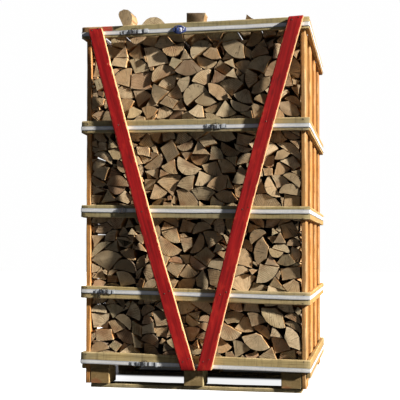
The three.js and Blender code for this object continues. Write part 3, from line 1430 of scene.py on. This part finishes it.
@dataclass
class Nails:
    """Round nail heads where the bands and braces cross the boards beneath."""

    radius: float = 0.0034
    height: float = 0.0011
    above: float = 0.02
    below: float = 0.024
    sunk: float = 0.0011

    def spots(self) -> tuple[list[Vector], list[Vector]]:
        """Where the nails are, and the way each one faces.

        Returns:
            The places and the directions.
        """
        places: list[Vector] = []
        facings: list[Vector] = []
        rng = dice("nails")

        def drive(place: Vector, facing: Vector) -> None:
            """Adds one nail, a little off its mark.

            Args:
                place: Its mark.
                facing: The way out of the wood there.
            """
            off = Vector(rng.uniform(-0.004, 0.004, 3))
            off -= facing * off.dot(facing)
            lean = Vector(rng.uniform(-0.08, 0.08, 3))
            places.append(place + off)
            facings.append((facing + lean).normalized())

        for level in LEVELS:
            for board in Bands().boards(level):
                span = board.end - board.start
                out = board.through.normalized()
                if out.dot(board.start) < 0:
                    out.negate()
                face = out * (board.through.length - self.sunk)
                if board.name.endswith(("front", "back")):
                    shares = [0.028, 0.972]
                else:
                    shares = [0.03, 0.09, 0.33, 0.38, 0.62, 0.67, 0.91, 0.97]
                for index, share in enumerate(shares):
                    heights = (self.above, -self.below)
                    if len(shares) > 2:
                        heights = (heights[index % 2],)
                    for up in heights:
                        drive(board.start + span * share + face + Vector((0, 0, up)), out)
        for name in ("brace_left", "brace_right"):
            board = Braces().board(name)
            low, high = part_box(name)
            for level in LEVELS:
                band_low, band_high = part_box(f"band_{level}_front")
                z = (band_low[2] + band_high[2]) / 2 + self.above * 0.6
                share = (z - low[2]) / (high[2] - low[2])
                middle = board.start + (board.end - board.start) * share
                for side in (-0.015, 0.014):
                    place = Vector((middle.x + side, low[1] + self.sunk, z + side * 0.4))
                    drive(place, Vector((0, -1, 0)))
        return places, facings

    def build(self) -> None:
        """Builds the nail heads."""
        places, facings = self.spots()
        mesh = bpy.data.meshes.new("nail_spots")
        mesh.from_pydata([tuple(p) for p in places], [], [])
        layer = mesh.attributes.new("facing", "FLOAT_VECTOR", "POINT")
        layer.data.foreach_set("vector", np.array([tuple(f) for f in facings], np.float32).ravel())
        tree = NailTree(PlainSteel("nail_steel", "58534c", "4c3626").make())
        inputs = {"Head radius": self.radius, "Head height": self.height, "Seed": 11}
        hand_over(tree.grow("nail_heads", mesh, inputs))


@dataclass
class BlueTie:
    """Blue and white twine knotted into a loose rosette round the top strap."""

    points: int = 30
    strand: float = 0.0015

    @staticmethod
    def room() -> tuple[np.ndarray, np.ndarray]:
        """The middle and the half size of the tie's CAD box."""
        low, high = extents("blue_tie")
        return (low + high) / 2, (high - low) / 2

    def loops(self, name: str, turns: int, phase: float, reach: float, lift: float) -> np.ndarray:
        """Open loops that wander round the knot.

        Args:
            name: Seeds the wander.
            turns: How many loops.
            phase: Where the first one starts.
            reach: Their size beside the knot's own.
            lift: How far they shift up.

        Returns:
            The twine's middle line.
        """
        centre, half = self.room()
        rng = dice(name)
        t = np.linspace(0, 1, turns * self.points)
        angle = TURN * turns * t + phase
        size = reach * (0.86 + 0.14 * np.sin(angle * 0.41 + rng.random() * 6))
        x = centre[0] + np.cos(angle) * (half[0] - 0.003) * size + 0.004 * np.sin(angle * 0.6)
        z = centre[2] + np.sin(angle) * (half[2] - 0.003) * size * 0.96 + lift
        y = centre[1] - (half[1] - 0.003) * np.sin(angle * 2.3 + phase)
        return np.column_stack([x, y, z])

    def knot(self, phase: float, across: float) -> np.ndarray:
        """Tight turns that bind the loops off their middle.

        Args:
            phase: Where round the turns it starts.
            across: How far along the tie it is.

        Returns:
            The points along it.
        """
        centre, half = self.room()
        angle = np.linspace(0, TURN * 2, 44) + phase
        x = centre[0] + across + np.linspace(-0.006, 0.006, 44)
        y = centre[1] + (half[1] - 0.0005) * np.sin(angle)
        z = centre[2] - 0.002 + 0.011 * np.cos(angle)
        return np.column_stack([x, y, z])

    def build(self) -> None:
        """Builds the two colours of twine."""
        blue = [self.loops("a", 3, 0.4, 1.0, 0.0), self.loops("b", 3, 2.0, 0.76, -0.002)]
        white = [self.loops("c", 1, 0.2, 0.97, 0.001), self.loops("d", 1, 3.4, 0.55, -0.003)]
        blue.append(self.knot(0.0, -0.012))
        white.append(self.knot(1.5, 0.006))
        twines = (("blue_twine", "24387e", "5f7cc0", blue), ("white_twine", "dfe3f2", "aab8dc", white))
        for name, colour, scuffed, lines in twines:
            tree = PathTree(name, 3, Twine(name, colour, scuffed).make())
            inputs = {"Strand radius": self.strand, "Turn a point": 0.5}
            hand_over(tree.grow(name, line_mesh(name, lines, False), inputs), ["blue_tie"])


# ---- Firewood ----

CUT, SPLIT, BARK = range(3)  # a log's finishes, in the order that its faces name them


def turned(points: np.ndarray, angle: float) -> np.ndarray:
    """Points of the plane, turned about its middle."""
    cosine, sine = math.cos(angle), math.sin(angle)
    return points @ np.array([[cosine, sine], [-sine, cosine]])


@dataclass
class SplitLog:
    """One split log seen on its end: an outline turning anticlockwise, which sides are bark, and its pith.

    Its tone and length may be given; otherwise they are random and the row's own.
    """

    outline: np.ndarray
    bark: list[bool]
    pith: np.ndarray
    tone: tuple[float, float, float] | None = None
    length: float | None = None

    def moved(self, offset: np.ndarray) -> "SplitLog":
        """A copy moved by an offset."""
        return SplitLog(self.outline + offset, self.bark, self.pith + offset, self.tone, self.length)

    def turned(self, angle: float) -> "SplitLog":
        """A copy turned about its trunk's middle."""
        outline, pith = turned(self.outline, angle), turned(self.pith, angle)
        return SplitLog(outline, self.bark, pith, self.tone, self.length)


class Cleave(Enum):
    """How a trunk was split, with how often."""

    WEDGE = 0.62
    HALF = 0.14
    SLAB = 0.08
    HEART = 0.12
    STICK = 0.04


def arc(radius: float, start: float, end: float, count: int) -> np.ndarray:
    """Points along a circle round the origin."""
    angles = np.linspace(start, end, count)
    return radius * np.column_stack([np.cos(angles), np.sin(angles)])


def cleaved(rng: np.random.Generator, size: float) -> SplitLog:
    """Splits one log off a trunk.

    Args:
        rng: The random source.
        size: About how wide the log gets.

    Returns:
        The log, round its trunk's middle.
    """
    kinds = list(Cleave)
    kind = kinds[int(rng.choice(len(kinds), p=[k.value for k in kinds]))]
    pith = np.zeros(2)
    if kind is Cleave.WEDGE:
        radius, spread = size * rng.uniform(0.8, 1.1), math.radians(rng.uniform(62, 112))
        outline = np.concatenate([[[0, 0]], arc(radius, -spread / 2, spread / 2, 6)])
        bark = [False] + [True] * 5 + [False]
        if rng.random() < 0.42:
            cut = radius * rng.uniform(0.12, 0.36)
            slope = math.tan(spread / 2)
            outline = np.concatenate([[[cut, cut * slope], [cut, -cut * slope]], outline[1:]])
            bark = [False, False] + [True] * 5 + [False]
    elif kind is Cleave.HALF:
        radius = size * rng.uniform(0.5, 0.66)
        reach = math.radians(rng.uniform(76, 96))
        outline, bark = arc(radius, -reach, reach, 9), [True] * 8 + [False]
    elif kind is Cleave.SLAB:
        radius = size * rng.uniform(0.72, 0.95)
        reach = math.acos(rng.uniform(0.36, 0.58))
        outline, bark = arc(radius, -reach, reach, 7), [True] * 6 + [False]
    else:
        corners = 4 if kind is Cleave.HEART else 3
        radius = size * (rng.uniform(0.5, 0.64) if corners == 4 else rng.uniform(0.38, 0.5))
        angles = (np.arange(corners) + rng.uniform(0, 0.5, corners)) * TURN / corners
        outline = np.column_stack([np.cos(angles), np.sin(angles) * rng.uniform(0.65, 1.0)]) * radius
        bark = [False] * corners
        pith = rng.uniform(-1.3, 1.3, 2) * radius
        if rng.random() < 0.4:
            bark[0] = True
    return SplitLog(outline, bark, pith)


@dataclass
class Stacker:
    """Lays split logs on each other, each where it wastes the least room, as one does by hand."""

    half: float
    floor: float
    top: float
    size: float = 0.1
    tries: int = 30
    grid: float = 0.004
    gap: float = 0.0012

    def profile(self, log: SplitLog) -> tuple[float, int, np.ndarray, np.ndarray]:
        """Left end, width in columns, lower and upper outline of a log.

        Args:
            log: The log.

        Returns:
            Its left end, its width, and its lower and upper heights by column.
        """
        outline = log.outline
        left = outline[:, 0].min()
        width = max(2, math.ceil((outline[:, 0].max() - left) / self.grid))
        xs = left + (np.arange(width) + 0.5) * self.grid
        low, high = np.full(width, np.inf), np.full(width, -np.inf)
        for a, b in zip(outline, np.roll(outline, -1, 0)):
            if abs(b[0] - a[0]) < 1e-9:
                continue
            t = (xs - a[0]) / (b[0] - a[0])
            inside = (t >= 0) & (t <= 1)
            z = a[1] + t * (b[1] - a[1])
            low[inside] = np.minimum(low[inside], z[inside])
            high[inside] = np.maximum(high[inside], z[inside])
        good = np.isfinite(low)
        low, high = np.interp(xs, xs[good], low[good]), np.interp(xs, xs[good], high[good])
        return left, width, low, high

    def best_place(self, heights: np.ndarray, low: np.ndarray, high: np.ndarray) -> tuple[float, int, float]:
        """The cheapest column for a log, with its cost and how far up it is moved.

        Args:
            heights: The stack's upper edge, by column.
            low: The log's lower outline.
            high: Its upper outline.

        Returns:
            The cost, the column and the lift.
        """
        width = len(low)
        window = np.lib.stride_tricks.sliding_window_view(heights, width)
        drop = (window - low).max(1)
        wasted = (drop[:, None] + low - window).sum(1)
        bulk = (high - low).sum()
        middle = drop + (low.mean() + high.mean()) / 2
        cost = wasted / bulk + (middle - heights.min()) * 7.0
        cost = np.where(drop + high.max() > self.top, np.inf, cost)
        for k in np.argpartition(cost, 6)[:6]:
            if not np.isfinite(cost[k]):
                continue
            left_wall = np.nonzero(heights[:k] > middle[k])[0]
            right_wall = np.nonzero(heights[k + width :] > middle[k])[0]
            left_gap = k - 1 - left_wall[-1] if len(left_wall) else k
            right_gap = right_wall[0] if len(right_wall) else len(heights) - k - width
            for space, wall in ((left_gap, not len(left_wall)), (right_gap, not len(right_wall))):
                if 0 < space * self.grid < 0.05:
                    cost[k] += space * (high.max() - low.min()) / bulk * (3.5 if wall else 0.8)
        k = int(cost.argmin())
        return float(cost[k]), k, float(drop[k])

    def stack(self, rng: np.random.Generator) -> tuple[list[SplitLog], np.ndarray]:
        """Fills the space; hands back the logs and the heights of their upper edge.

        Args:
            rng: The random source.

        Returns:
            The logs, and the heights by column.
        """
        heights = np.full(int(2 * self.half / self.grid), self.floor)
        logs: list[SplitLog] = []
        misses = 0
        while misses < 6:
            base = self.size * rng.choice([0.74, 0.9, 1.0, 1.1, 1.22], p=[0.14, 0.22, 0.28, 0.22, 0.14])
            best: tuple[float, int, float, SplitLog, tuple] | None = None
            for _ in range(self.tries):
                log = cleaved(rng, base).turned(rng.uniform(0, TURN))
                left, width, low, high = self.profile(log)
                tall = (high.max() - low.min()) / (width * self.grid)
                if tall > 0.86 and rng.random() > 0.02:
                    continue
                cost, column, drop = self.best_place(heights, low, high)
                if best is None or cost < best[0]:
                    best = (cost, column, drop, log, (left, width, high))
            if best is None or not math.isfinite(best[0]):
                misses += 1
                continue
            misses = 0
            _, column, drop, log, (left, width, high) = best
            logs.append(log.moved(np.array([column * self.grid - self.half - left, drop + self.gap])))
            under = heights[column : column + width]
            heights[column : column + width] = np.maximum(under, drop + high + self.gap)
        return logs, heights


def apart(a: np.ndarray, b: np.ndarray, room: float) -> bool:
    """Whether two outlines have a straight gap of at least some room between them.

    Args:
        a: One outline.
        b: The other.
        room: The least gap.

    Returns:
        Whether they are apart.
    """
    for outline in (a, b):
        edges = np.roll(outline, -1, 0) - outline
        normals = np.column_stack([edges[:, 1], -edges[:, 0]])
        normals /= np.linalg.norm(normals, axis=1)[:, None] + 1e-12
        along_a, along_b = a @ normals.T, b @ normals.T
        gaps = np.maximum(along_b.min(0) - along_a.max(0), along_a.min(0) - along_b.max(0))
        if gaps.max() >= room:
            return True
    return False


@dataclass
class Firewood:
    """Three rows of split logs, one behind the other, each stacked afresh."""

    size: float = 0.09
    columns: int = 3
    courses: int = 4
    gap: float = 0.0014
    brim: float = 1.79  # no filling split's lower corner is above this
    top: float = 1.82  # no filling split's middle is above this
    front_top: float = 1.818  # how high the front row is stacked
    row_top: float = 1.83  # where the uppermost course of pieces ends
    set_back: float = 0.03  # how much farther back the front row's uppermost logs may stand
    rows: tuple[str, ...] = ("front", "middle", "back")
    # Each round of filling: the least width of a split, how often it is tried, and how far out it starts.
    stages: tuple[tuple[float, int, float], ...] = (
        (0.034, 900, 0.88),
        (0.034, 1500, 0),
        (0.026, 700, 0.9),
        (0.025, 1500, 0),
        (0.017, 2200, 0),
        (0.013, 1500, 0.93),
    )

    def clear(self, outline: np.ndarray, half: float, others: list[np.ndarray]) -> bool:
        """Whether an outline is clear of the walls and of other outlines."""
        return np.abs(outline[:, 0]).max() <= half and all(apart(outline, o, self.gap) for o in others)

    def swell(self, logs: list[SplitLog], space: Stacker) -> None:
        """Lets each log grow, and then each of its corners, until it meets its neighbours.

        Args:
            logs: The row's logs, which are changed.
            space: The space they lie in.
        """
        outlines = [log.outline for log in logs]
        lows = np.array([o.min(0) for o in outlines])
        highs = np.array([o.max(0) for o in outlines])

        def fits(outline: np.ndarray, near: np.ndarray) -> bool:
            """Whether a log's new outline is clear of the walls, the floor and the logs near it."""
            inside = outline[:, 1].min() >= space.floor
            return inside and self.clear(outline, space.half, [outlines[j] for j in near])

        for index, log in enumerate(logs):
            reach = 0.03
            near = np.nonzero(((lows - reach < highs[index]) & (highs + reach > lows[index])).all(1))[0]
            near = near[near != index]
            middle = outlines[index].mean(0)
            for grow in (1.2, 1.14, 1.09, 1.05, 1.02):
                trial = middle + (outlines[index] - middle) * grow
                if fits(trial, near):
                    outlines[index] = trial
                    log.pith = middle + (log.pith - middle) * grow
                    break
            for corner in range(len(log.bark)):
                if log.bark[corner - 1] and log.bark[corner]:
                    continue
                for push in (0.014, 0.008, 0.004):
                    trial = outlines[index].copy()
                    way = trial[corner] - middle
                    trial[corner] += way / np.linalg.norm(way) * push
                    if fits(trial, near):
                        outlines[index] = trial
                        break
            log.outline = outlines[index]
            lows[index], highs[index] = log.outline.min(0), log.outline.max(0)

    def fill(self, logs: list[SplitLog], heights: np.ndarray, space: Stacker) -> None:
        """Wedges small splits into the hollows that are left between the logs.

        Args:
            logs: The row's logs, which are added to.
            heights: Their upper edge, by column.
            space: The space they lie in.
        """
        rng = np.random.default_rng(len(logs))
        outlines = [log.outline for log in logs]
        lows = np.array([o.min(0) for o in outlines])
        highs = np.array([o.max(0) for o in outlines])
        for least, tries, inner in self.stages:
            for _ in range(tries):
                x = rng.uniform(inner, 1) * space.half * rng.choice([-1, 1])
                spot = np.array([x, rng.uniform(space.floor, self.top)])
                column = min(len(heights) - 1, int((spot[0] + space.half) / space.grid))
                if spot[1] > heights[column] - 0.003:
                    continue
                near = np.nonzero(((lows - 0.045 < spot) & (highs + 0.045 > spot)).all(1))[0]
                corners = int(rng.integers(3, 6))
                angles = (np.arange(corners) + rng.uniform(0, 0.6, corners)) * TURN / corners
                shape = np.column_stack([np.cos(angles), np.sin(angles) * rng.uniform(0.6, 1.0)])
                shape = turned(shape, rng.uniform(0, TURN))

                def fits(outline: np.ndarray) -> bool:
                    """Whether an outline is clear of the walls, the floor, the brim and the logs."""
                    inside = space.floor < outline[:, 1].min() < self.brim
                    return inside and self.clear(outline, space.half, [outlines[j] for j in near])

                outline = spot + shape * least * 0.42
                if not fits(outline):
                    continue
                for step in range(60):
                    corner = step % corners
                    trial = outline.copy()
                    trial[corner] += (trial[corner] - outline.mean(0)) * 0.14
                    if np.ptp(trial, 0).max() < 0.085 and fits(trial):
                        outline = trial
                area = 0.5 * abs(np.sum(np.cross(outline, np.roll(outline, -1, 0))))
                if math.sqrt(area) < least * 0.8:
                    continue
                bark = [bool(rng.random() < 0.3)] + [False] * (corners - 1)
                logs.append(SplitLog(outline, bark, spot + rng.uniform(-0.05, 0.05, 2)))
                outlines.append(outline)
                lows = np.vstack([lows, outline.min(0)])
                highs = np.vstack([highs, outline.max(0)])

    def crown(self, heights: np.ndarray, space: Stacker) -> list[SplitLog]:
        """The logs that stick up over the front edge, resting on the stack's upper edge.

        Args:
            heights: The stack's upper edge, by column, which is raised.
            space: The space the stack lies in.

        Returns:
            The logs.
        """
        shapes = [
            (-0.354, 1.910, SplitLog(*self.chunk(), tone=(0.86, 0.55, 0.2), length=0.1)),
            (-0.213, 1.867, SplitLog(*self.cap(0.068, 100)).turned(math.pi / 2 + 0.05)),
            (0.012, 1.874, SplitLog(*self.block(0.102, 0.078), tone=(0.97, 0.9, 0.1), length=0.07)),
            (0.283, 1.850, SplitLog(*self.wedge(0.09, 34)).turned(-math.pi / 2 + 0.2)),
        ]
        crown = []
        for x, top, log in shapes:
            left, width, low, _ = space.profile(log)
            column = round((x + space.half - width * space.grid / 2) / space.grid)
            rest = (heights[column : column + width] - low).max() + 0.001
            bottom = log.outline[:, 1].min() + rest
            stretch = (top - bottom) / np.ptp(log.outline[:, 1])
            across = column * space.grid - space.half - left
            placed = log.moved(np.array([across, -log.outline[:, 1].min()]))
            placed.outline = placed.outline * [1, stretch] + [0, bottom]
            placed.pith = placed.pith * [1, stretch] + [0, bottom]
            crown.append(placed)
            above = heights[column : column + width]
            heights[column : column + width] = np.maximum(above, top)
        return crown

    @staticmethod
    def chunk() -> tuple[np.ndarray, list[bool], np.ndarray]:
        """A rounded lump that stands on its narrow end and leans left.

        Returns:
            Its outline, which of its sides are bark, and its pith.
        """
        right = [(-0.01, 0), (0.017, 0), (0.033, 0.018), (0.036, 0.04), (0.028, 0.06), (0.01, 0.074)]
        left = [(-0.012, 0.077), (-0.033, 0.07), (-0.039, 0.058), (-0.034, 0.043)]
        bark = [False, False, False, False, True, True, True, True, True, False]
        return np.array(right + left) - [0, 0.04], bark, np.array([-0.01, -0.07])

    @staticmethod
    def wedge(radius: float, degrees: float) -> tuple[np.ndarray, list[bool], np.ndarray]:
        """A wedge of a trunk that opens along +X.

        Args:
            radius: The trunk's radius.
            degrees: How wide it opens.

        Returns:
            Its outline, which of its sides are bark, and its pith.
        """
        spread = math.radians(degrees)
        outline = np.concatenate([[[0, 0]], arc(radius, -spread / 2, spread / 2, 5)])
        return outline, [False] + [True] * 4 + [False], np.zeros(2)

    @staticmethod
    def cap(radius: float, degrees: float) -> tuple[np.ndarray, list[bool], np.ndarray]:
        """A slab with a rounded back that faces +X."""
        reach = math.radians(degrees) * 0.72
        return arc(radius, -reach, reach, 8), [True] * 7 + [False], np.zeros(2)

    @staticmethod
    def block(width: float, height: float) -> tuple[np.ndarray, list[bool], np.ndarray]:
        """A squarish piece with a flat sloping top.

        Args:
            width: Its width.
            height: Its height.

        Returns:
            Its outline, which of its sides are bark, and its pith.
        """
        corners = [(0.02, 0), (0.9, 0.06), (1.0, 0.88), (0.03, 1.0)]
        outline = np.array(corners) * [width, height] - [width / 2, height / 2]
        return outline, [False] * 4, np.array([width * 0.2, -height])

    def skin(self, log: SplitLog, rng: np.random.Generator) -> tuple[np.ndarray, list[int], np.ndarray]:
        """Works a plain outline into a log's: hollowed split faces, blunt corners, drying checks.

        Args:
            log: The log.
            rng: The random source.

        Returns:
            The finer outline, the finish of each of its sides, and the wear of each point.
        """
        points: list[np.ndarray] = []
        finishes: list[int] = []
        wear: list[float] = []

        def add(point: np.ndarray, finish: int, worn: float) -> None:
            """Adds a point, with the finish of the side that starts at it.

            Args:
                point: The point.
                finish: Which finish.
                worn: Its wear.
            """
            points.append(point)
            finishes.append(finish)
            wear.append(worn)

        middle = log.outline.mean(0)
        count = len(log.outline)
        check = -1
        if rng.random() < 0.4:
            barks = [i for i in range(count) if log.bark[i] and log.bark[i - 1]]
            check = int(rng.choice(barks)) if barks else -1
        for i in range(count):
            a, b = log.outline[i], log.outline[(i + 1) % count]
            side = b - a
            length = float(np.linalg.norm(side))
            if length < 0.003:
                continue
            inward = np.array([-side[1], side[0]]) / length
            blunt = min(0.0017, length * 0.1)
            if log.bark[i]:
                start = 0.0 if log.bark[i - 1] else blunt / length
                if i == check:
                    depth = (log.pith - a) * rng.uniform(0.3, 0.7)
                    slit = side / length * rng.uniform(0.0009, 0.002)
                    for offset, face in ((-slit, SPLIT), (depth, SPLIT), (slit, BARK)):
                        add(a + offset, face, 0.3)
                else:
                    add(a + side * start, BARK, 0.0 if start == 0 else 1.0)
                add(a + side * 0.52 + inward * rng.uniform(-0.0022, 0.0008), BARK, 0.0)
                if not log.bark[(i + 1) % count]:
                    add(b - side * blunt / length, SPLIT, 1.0)
                continue
            pieces = max(2, round(length / 0.02))
            hollow = rng.uniform(0.0, 0.004) if rng.random() < 0.12 else 0.0
            for step in range(pieces + 1):
                t = step / pieces
                t = min(max(t, blunt / length), 1 - blunt / length)
                sag = hollow * math.sin(math.pi * t) + rng.uniform(0, 0.0014) * (0 < step < pieces)
                add(a + side * t + inward * sag, SPLIT, 1.0 if step in (0, pieces) else 0.0)
            if log.bark[(i + 1) % count]:
                finishes[-1] = BARK
        outline = np.array(points)
        return middle + (outline - middle) * 0.986, finishes, np.array(wear)

    def add_log(
        self, solid: Solid, log: SplitLog, front: float, back: float, grow: float, near: str
    ) -> None:
        """Adds one log to a piece.

        Args:
            solid: The piece.
            log: The log's outline at the end that shows.
            front: Y of its front end.
            back: Y of its back end.
            grow: How much farther than the stack its end may stand back.
            near: Which end shows, "front" or "back".
        """
        rng = np.random.default_rng(abs(int(log.outline.sum() * 1e6)) + len(solid.faces))
        outline, finishes, wear = self.skin(log, rng)
        middle = outline.mean(0)
        shares = np.array([0.0, 0.006, 0.2, 0.42, 0.66, 0.88, 0.994, 1.0])
        seen = shares if near == "front" else 1 - shares
        taper = 1 - rng.uniform(0.0, 0.05) * seen
        taper[[0, -1]] -= 0.012
        twist = np.radians(rng.uniform(-2.5, 2.5)) * seen
        drift = rng.uniform(-0.004, 0.004, 2)[None] * seen[:, None]
        tilt = rng.normal(0, 0.075, (2, 2))
        local = outline - middle
        recess = rng.beta(1.2, 2.2) * 0.036 + grow * rng.random()
        ends = [front + recess, back - rng.uniform(0, 0.012)]
        if log.length:
            ends = [front + 0.004, front + 0.004 + log.length]
        if near == "back":
            ends = [front + rng.uniform(0, 0.012), back - recess]
        cosine, sine = np.cos(twist), np.sin(twist)
        rings = np.zeros((len(shares), len(outline), 3))
        waves = np.cumsum(rng.normal(0, 0.9, len(outline)))
        for j, share in enumerate(shares):
            x = local[:, 0] * cosine[j] - local[:, 1] * sine[j]
            z = local[:, 0] * sine[j] + local[:, 1] * cosine[j]
            ripple = 1 - (0.012 + 0.012 * np.sin(share * 7 + waves)) * min(1.0, 8 * float(seen[j]))
            near_y = ends[0] + np.maximum(0, 0.02 + local @ tilt[0]) - 0.02
            far_y = ends[1] + local @ tilt[1]
            rings[j, :, 0] = middle[0] + x * taper[j] * ripple + drift[j, 0]
            rings[j, :, 2] = middle[1] + z * taper[j] * ripple + drift[j, 1]
            rings[j, :, 1] = near_y + (far_y - near_y) * share
        rings[..., 1] = np.clip(rings[..., 1], front, back)
        grain = rings[..., [0, 2, 1]] - np.array([log.pith[0], log.pith[1], 0])
        tone = rng.random(3) if log.tone is None else log.tone
        solid.sweep(rings, grain, tone, wear, finishes, CUT)

    def build_row(self, row: str, finishes: list[bpy.types.Material]) -> None:
        """Stacks and builds one row.

        Args:
            row: The row's name.
            finishes: The finishes of cut ends, split faces and bark.
        """
        node = f"firewood_row_{row}"
        low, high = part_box(node)
        half = min(-low[0], high[0])
        rng = dice(node)
        space = Stacker(half, low[2], self.front_top if row == "front" else high[2] - 0.01, self.size)
        logs, heights = space.stack(rng)
        self.swell(logs, space)
        if row == "front":
            logs += self.crown(heights, space)
        self.fill(logs, heights, space)
        pieces: dict[tuple[int, int], Solid] = {}
        for log in logs:
            x, z = log.outline.mean(0)
            column = min(self.columns - 1, int((x + half) / (2 * half) * self.columns))
            course = min(self.courses - 1, int((z - low[2]) / (self.row_top - low[2]) * self.courses))
            solid = pieces.setdefault((course, column), Solid())
            deep = self.set_back if row == "front" and 1.68 < z <= 1.8 else 0.0
            self.add_log(solid, log, low[1], high[1], deep, "back" if row == "back" else "front")
        for (course, column), solid in sorted(pieces.items()):
            name = f"firewood_{row}_{course + 1}_{column + 1}"
            hand_over(solid.build(name, finishes), [node])
        LOG.info("row %s: %d logs", row, len(logs))

    def build(self) -> None:
        """Builds the three rows."""
        finishes = [CutEnd().make(), SplitFace().make(), Bark().make()]
        for row in self.rows:
            self.build_row(row, finishes)


# ---- Studio ----


def heading(swing: float, rise: float) -> Vector:
    """The way from the crate to what stands swing degrees round it from the front and rise degrees up."""
    turn, up = math.radians(swing), math.radians(rise)
    return Vector((math.sin(turn) * math.cos(up), -math.cos(turn) * math.cos(up), math.sin(up)))


@dataclass
class Studio:
    """The pale floor, the lights and the camera."""

    aim: Vector = field(default_factory=lambda: Vector((0, 0, 0.95)))
    stand: Vector = field(default_factory=lambda: Vector((0.878, -4.752, 0.660)))
    swing: float = 11.32
    pitch: float = 1.71
    lens: float = 78.57
    shift: float = 0.075
    floor_reach: float = 30.0

    def build_floor(self) -> None:
        """A wide pale floor."""
        mesh = bpy.data.meshes.new("floor")
        r = self.floor_reach
        mesh.from_pydata([(-r, -r, 0), (r, -r, 0), (r, r, 0), (-r, r, 0)], [], [(0, 1, 2, 3)])
        mesh.materials.append(PaleFloor().make())
        put("floor", mesh)

    def light(
        self, name: str, kind: str, swing: float, rise: float, away: float, power: float, tint: str
    ) -> bpy.types.Light:
        """A light that faces the crate.

        Args:
            name: Its name.
            kind: "SUN" for an even light from far off, "AREA" for a square soft one.
            swing: Degrees round the crate from the front towards its right.
            rise: Degrees above the middle of the crate.
            away: Distance in metres.
            power: Watts, or watts a square metre for a sun.
            tint: Its colour.

        Returns:
            The lamp, whose size is still to be set.
        """
        lamp = bpy.data.lights.new(name, kind)
        lamp.energy, lamp.color = power, shade(tint)[:3]
        way = heading(swing, rise)
        made = put(name, lamp)
        made.location = self.aim + way * away
        made.rotation_euler = way.to_track_quat("Z", "Y").to_euler()
        return lamp

    def build_lights(self) -> None:
        """A warm key from the right, a soft light behind and a pale surround."""
        self.light("key", "SUN", 75.5, 26, 6.0, 10.4, "fff5ea").angle = math.radians(2.6)
        self.light("rear", "AREA", 200, 38, 6.5, 330, "f4f4ff").size = 3.0
        self.light("left", "AREA", -112, 24, 5.5, 170, "eef2ff").size = 2.6
        world = bpy.data.worlds.new("surround")
        world.use_nodes = True
        graph = Graph(world.node_tree)
        seen = graph.node("ShaderNodeLightPath", output="Is Camera Ray")
        strength = seen * 0.93 + 0.065
        pale = {"Color": seen.blend(shade("d3e0fa"), shade("ffffff")), "Strength": strength}
        background = graph.node("ShaderNodeBackground", values=pale)
        graph.node("ShaderNodeOutputWorld", values={"Surface": background})
        bpy.context.scene.world = world
        bpy.context.scene.view_settings.view_transform = "Standard"

    def build_camera(self) -> None:
        """The camera, low in front of the crate and a little to its right."""
        data = bpy.data.cameras.new("camera")
        data.lens, data.sensor_width, data.shift_y = self.lens, 36.0, self.shift
        made = put("camera", data)
        made.location = self.stand
        way = -heading(self.swing, -self.pitch)
        made.rotation_euler = way.to_track_quat("-Z", "Y").to_euler()
        bpy.context.scene.camera = made

    def build(self) -> None:
        """Sets up the studio."""
        self.build_camera()
        self.build_floor()
        self.build_lights()


def main() -> None:
    """Builds the crate, its filling and the studio in order."""
    logging.basicConfig(level=logging.INFO, format="%(message)s")
    Studio().build()
    Pallet().build()
    SideWalls().build()
    Bands().build()
    Braces().build()
    straps = Straps()
    straps.build()
    Buckles().build(straps)
    Nails().build()
    BlueTie().build()
    Firewood().build()


if __name__ == "__main__":
    main()
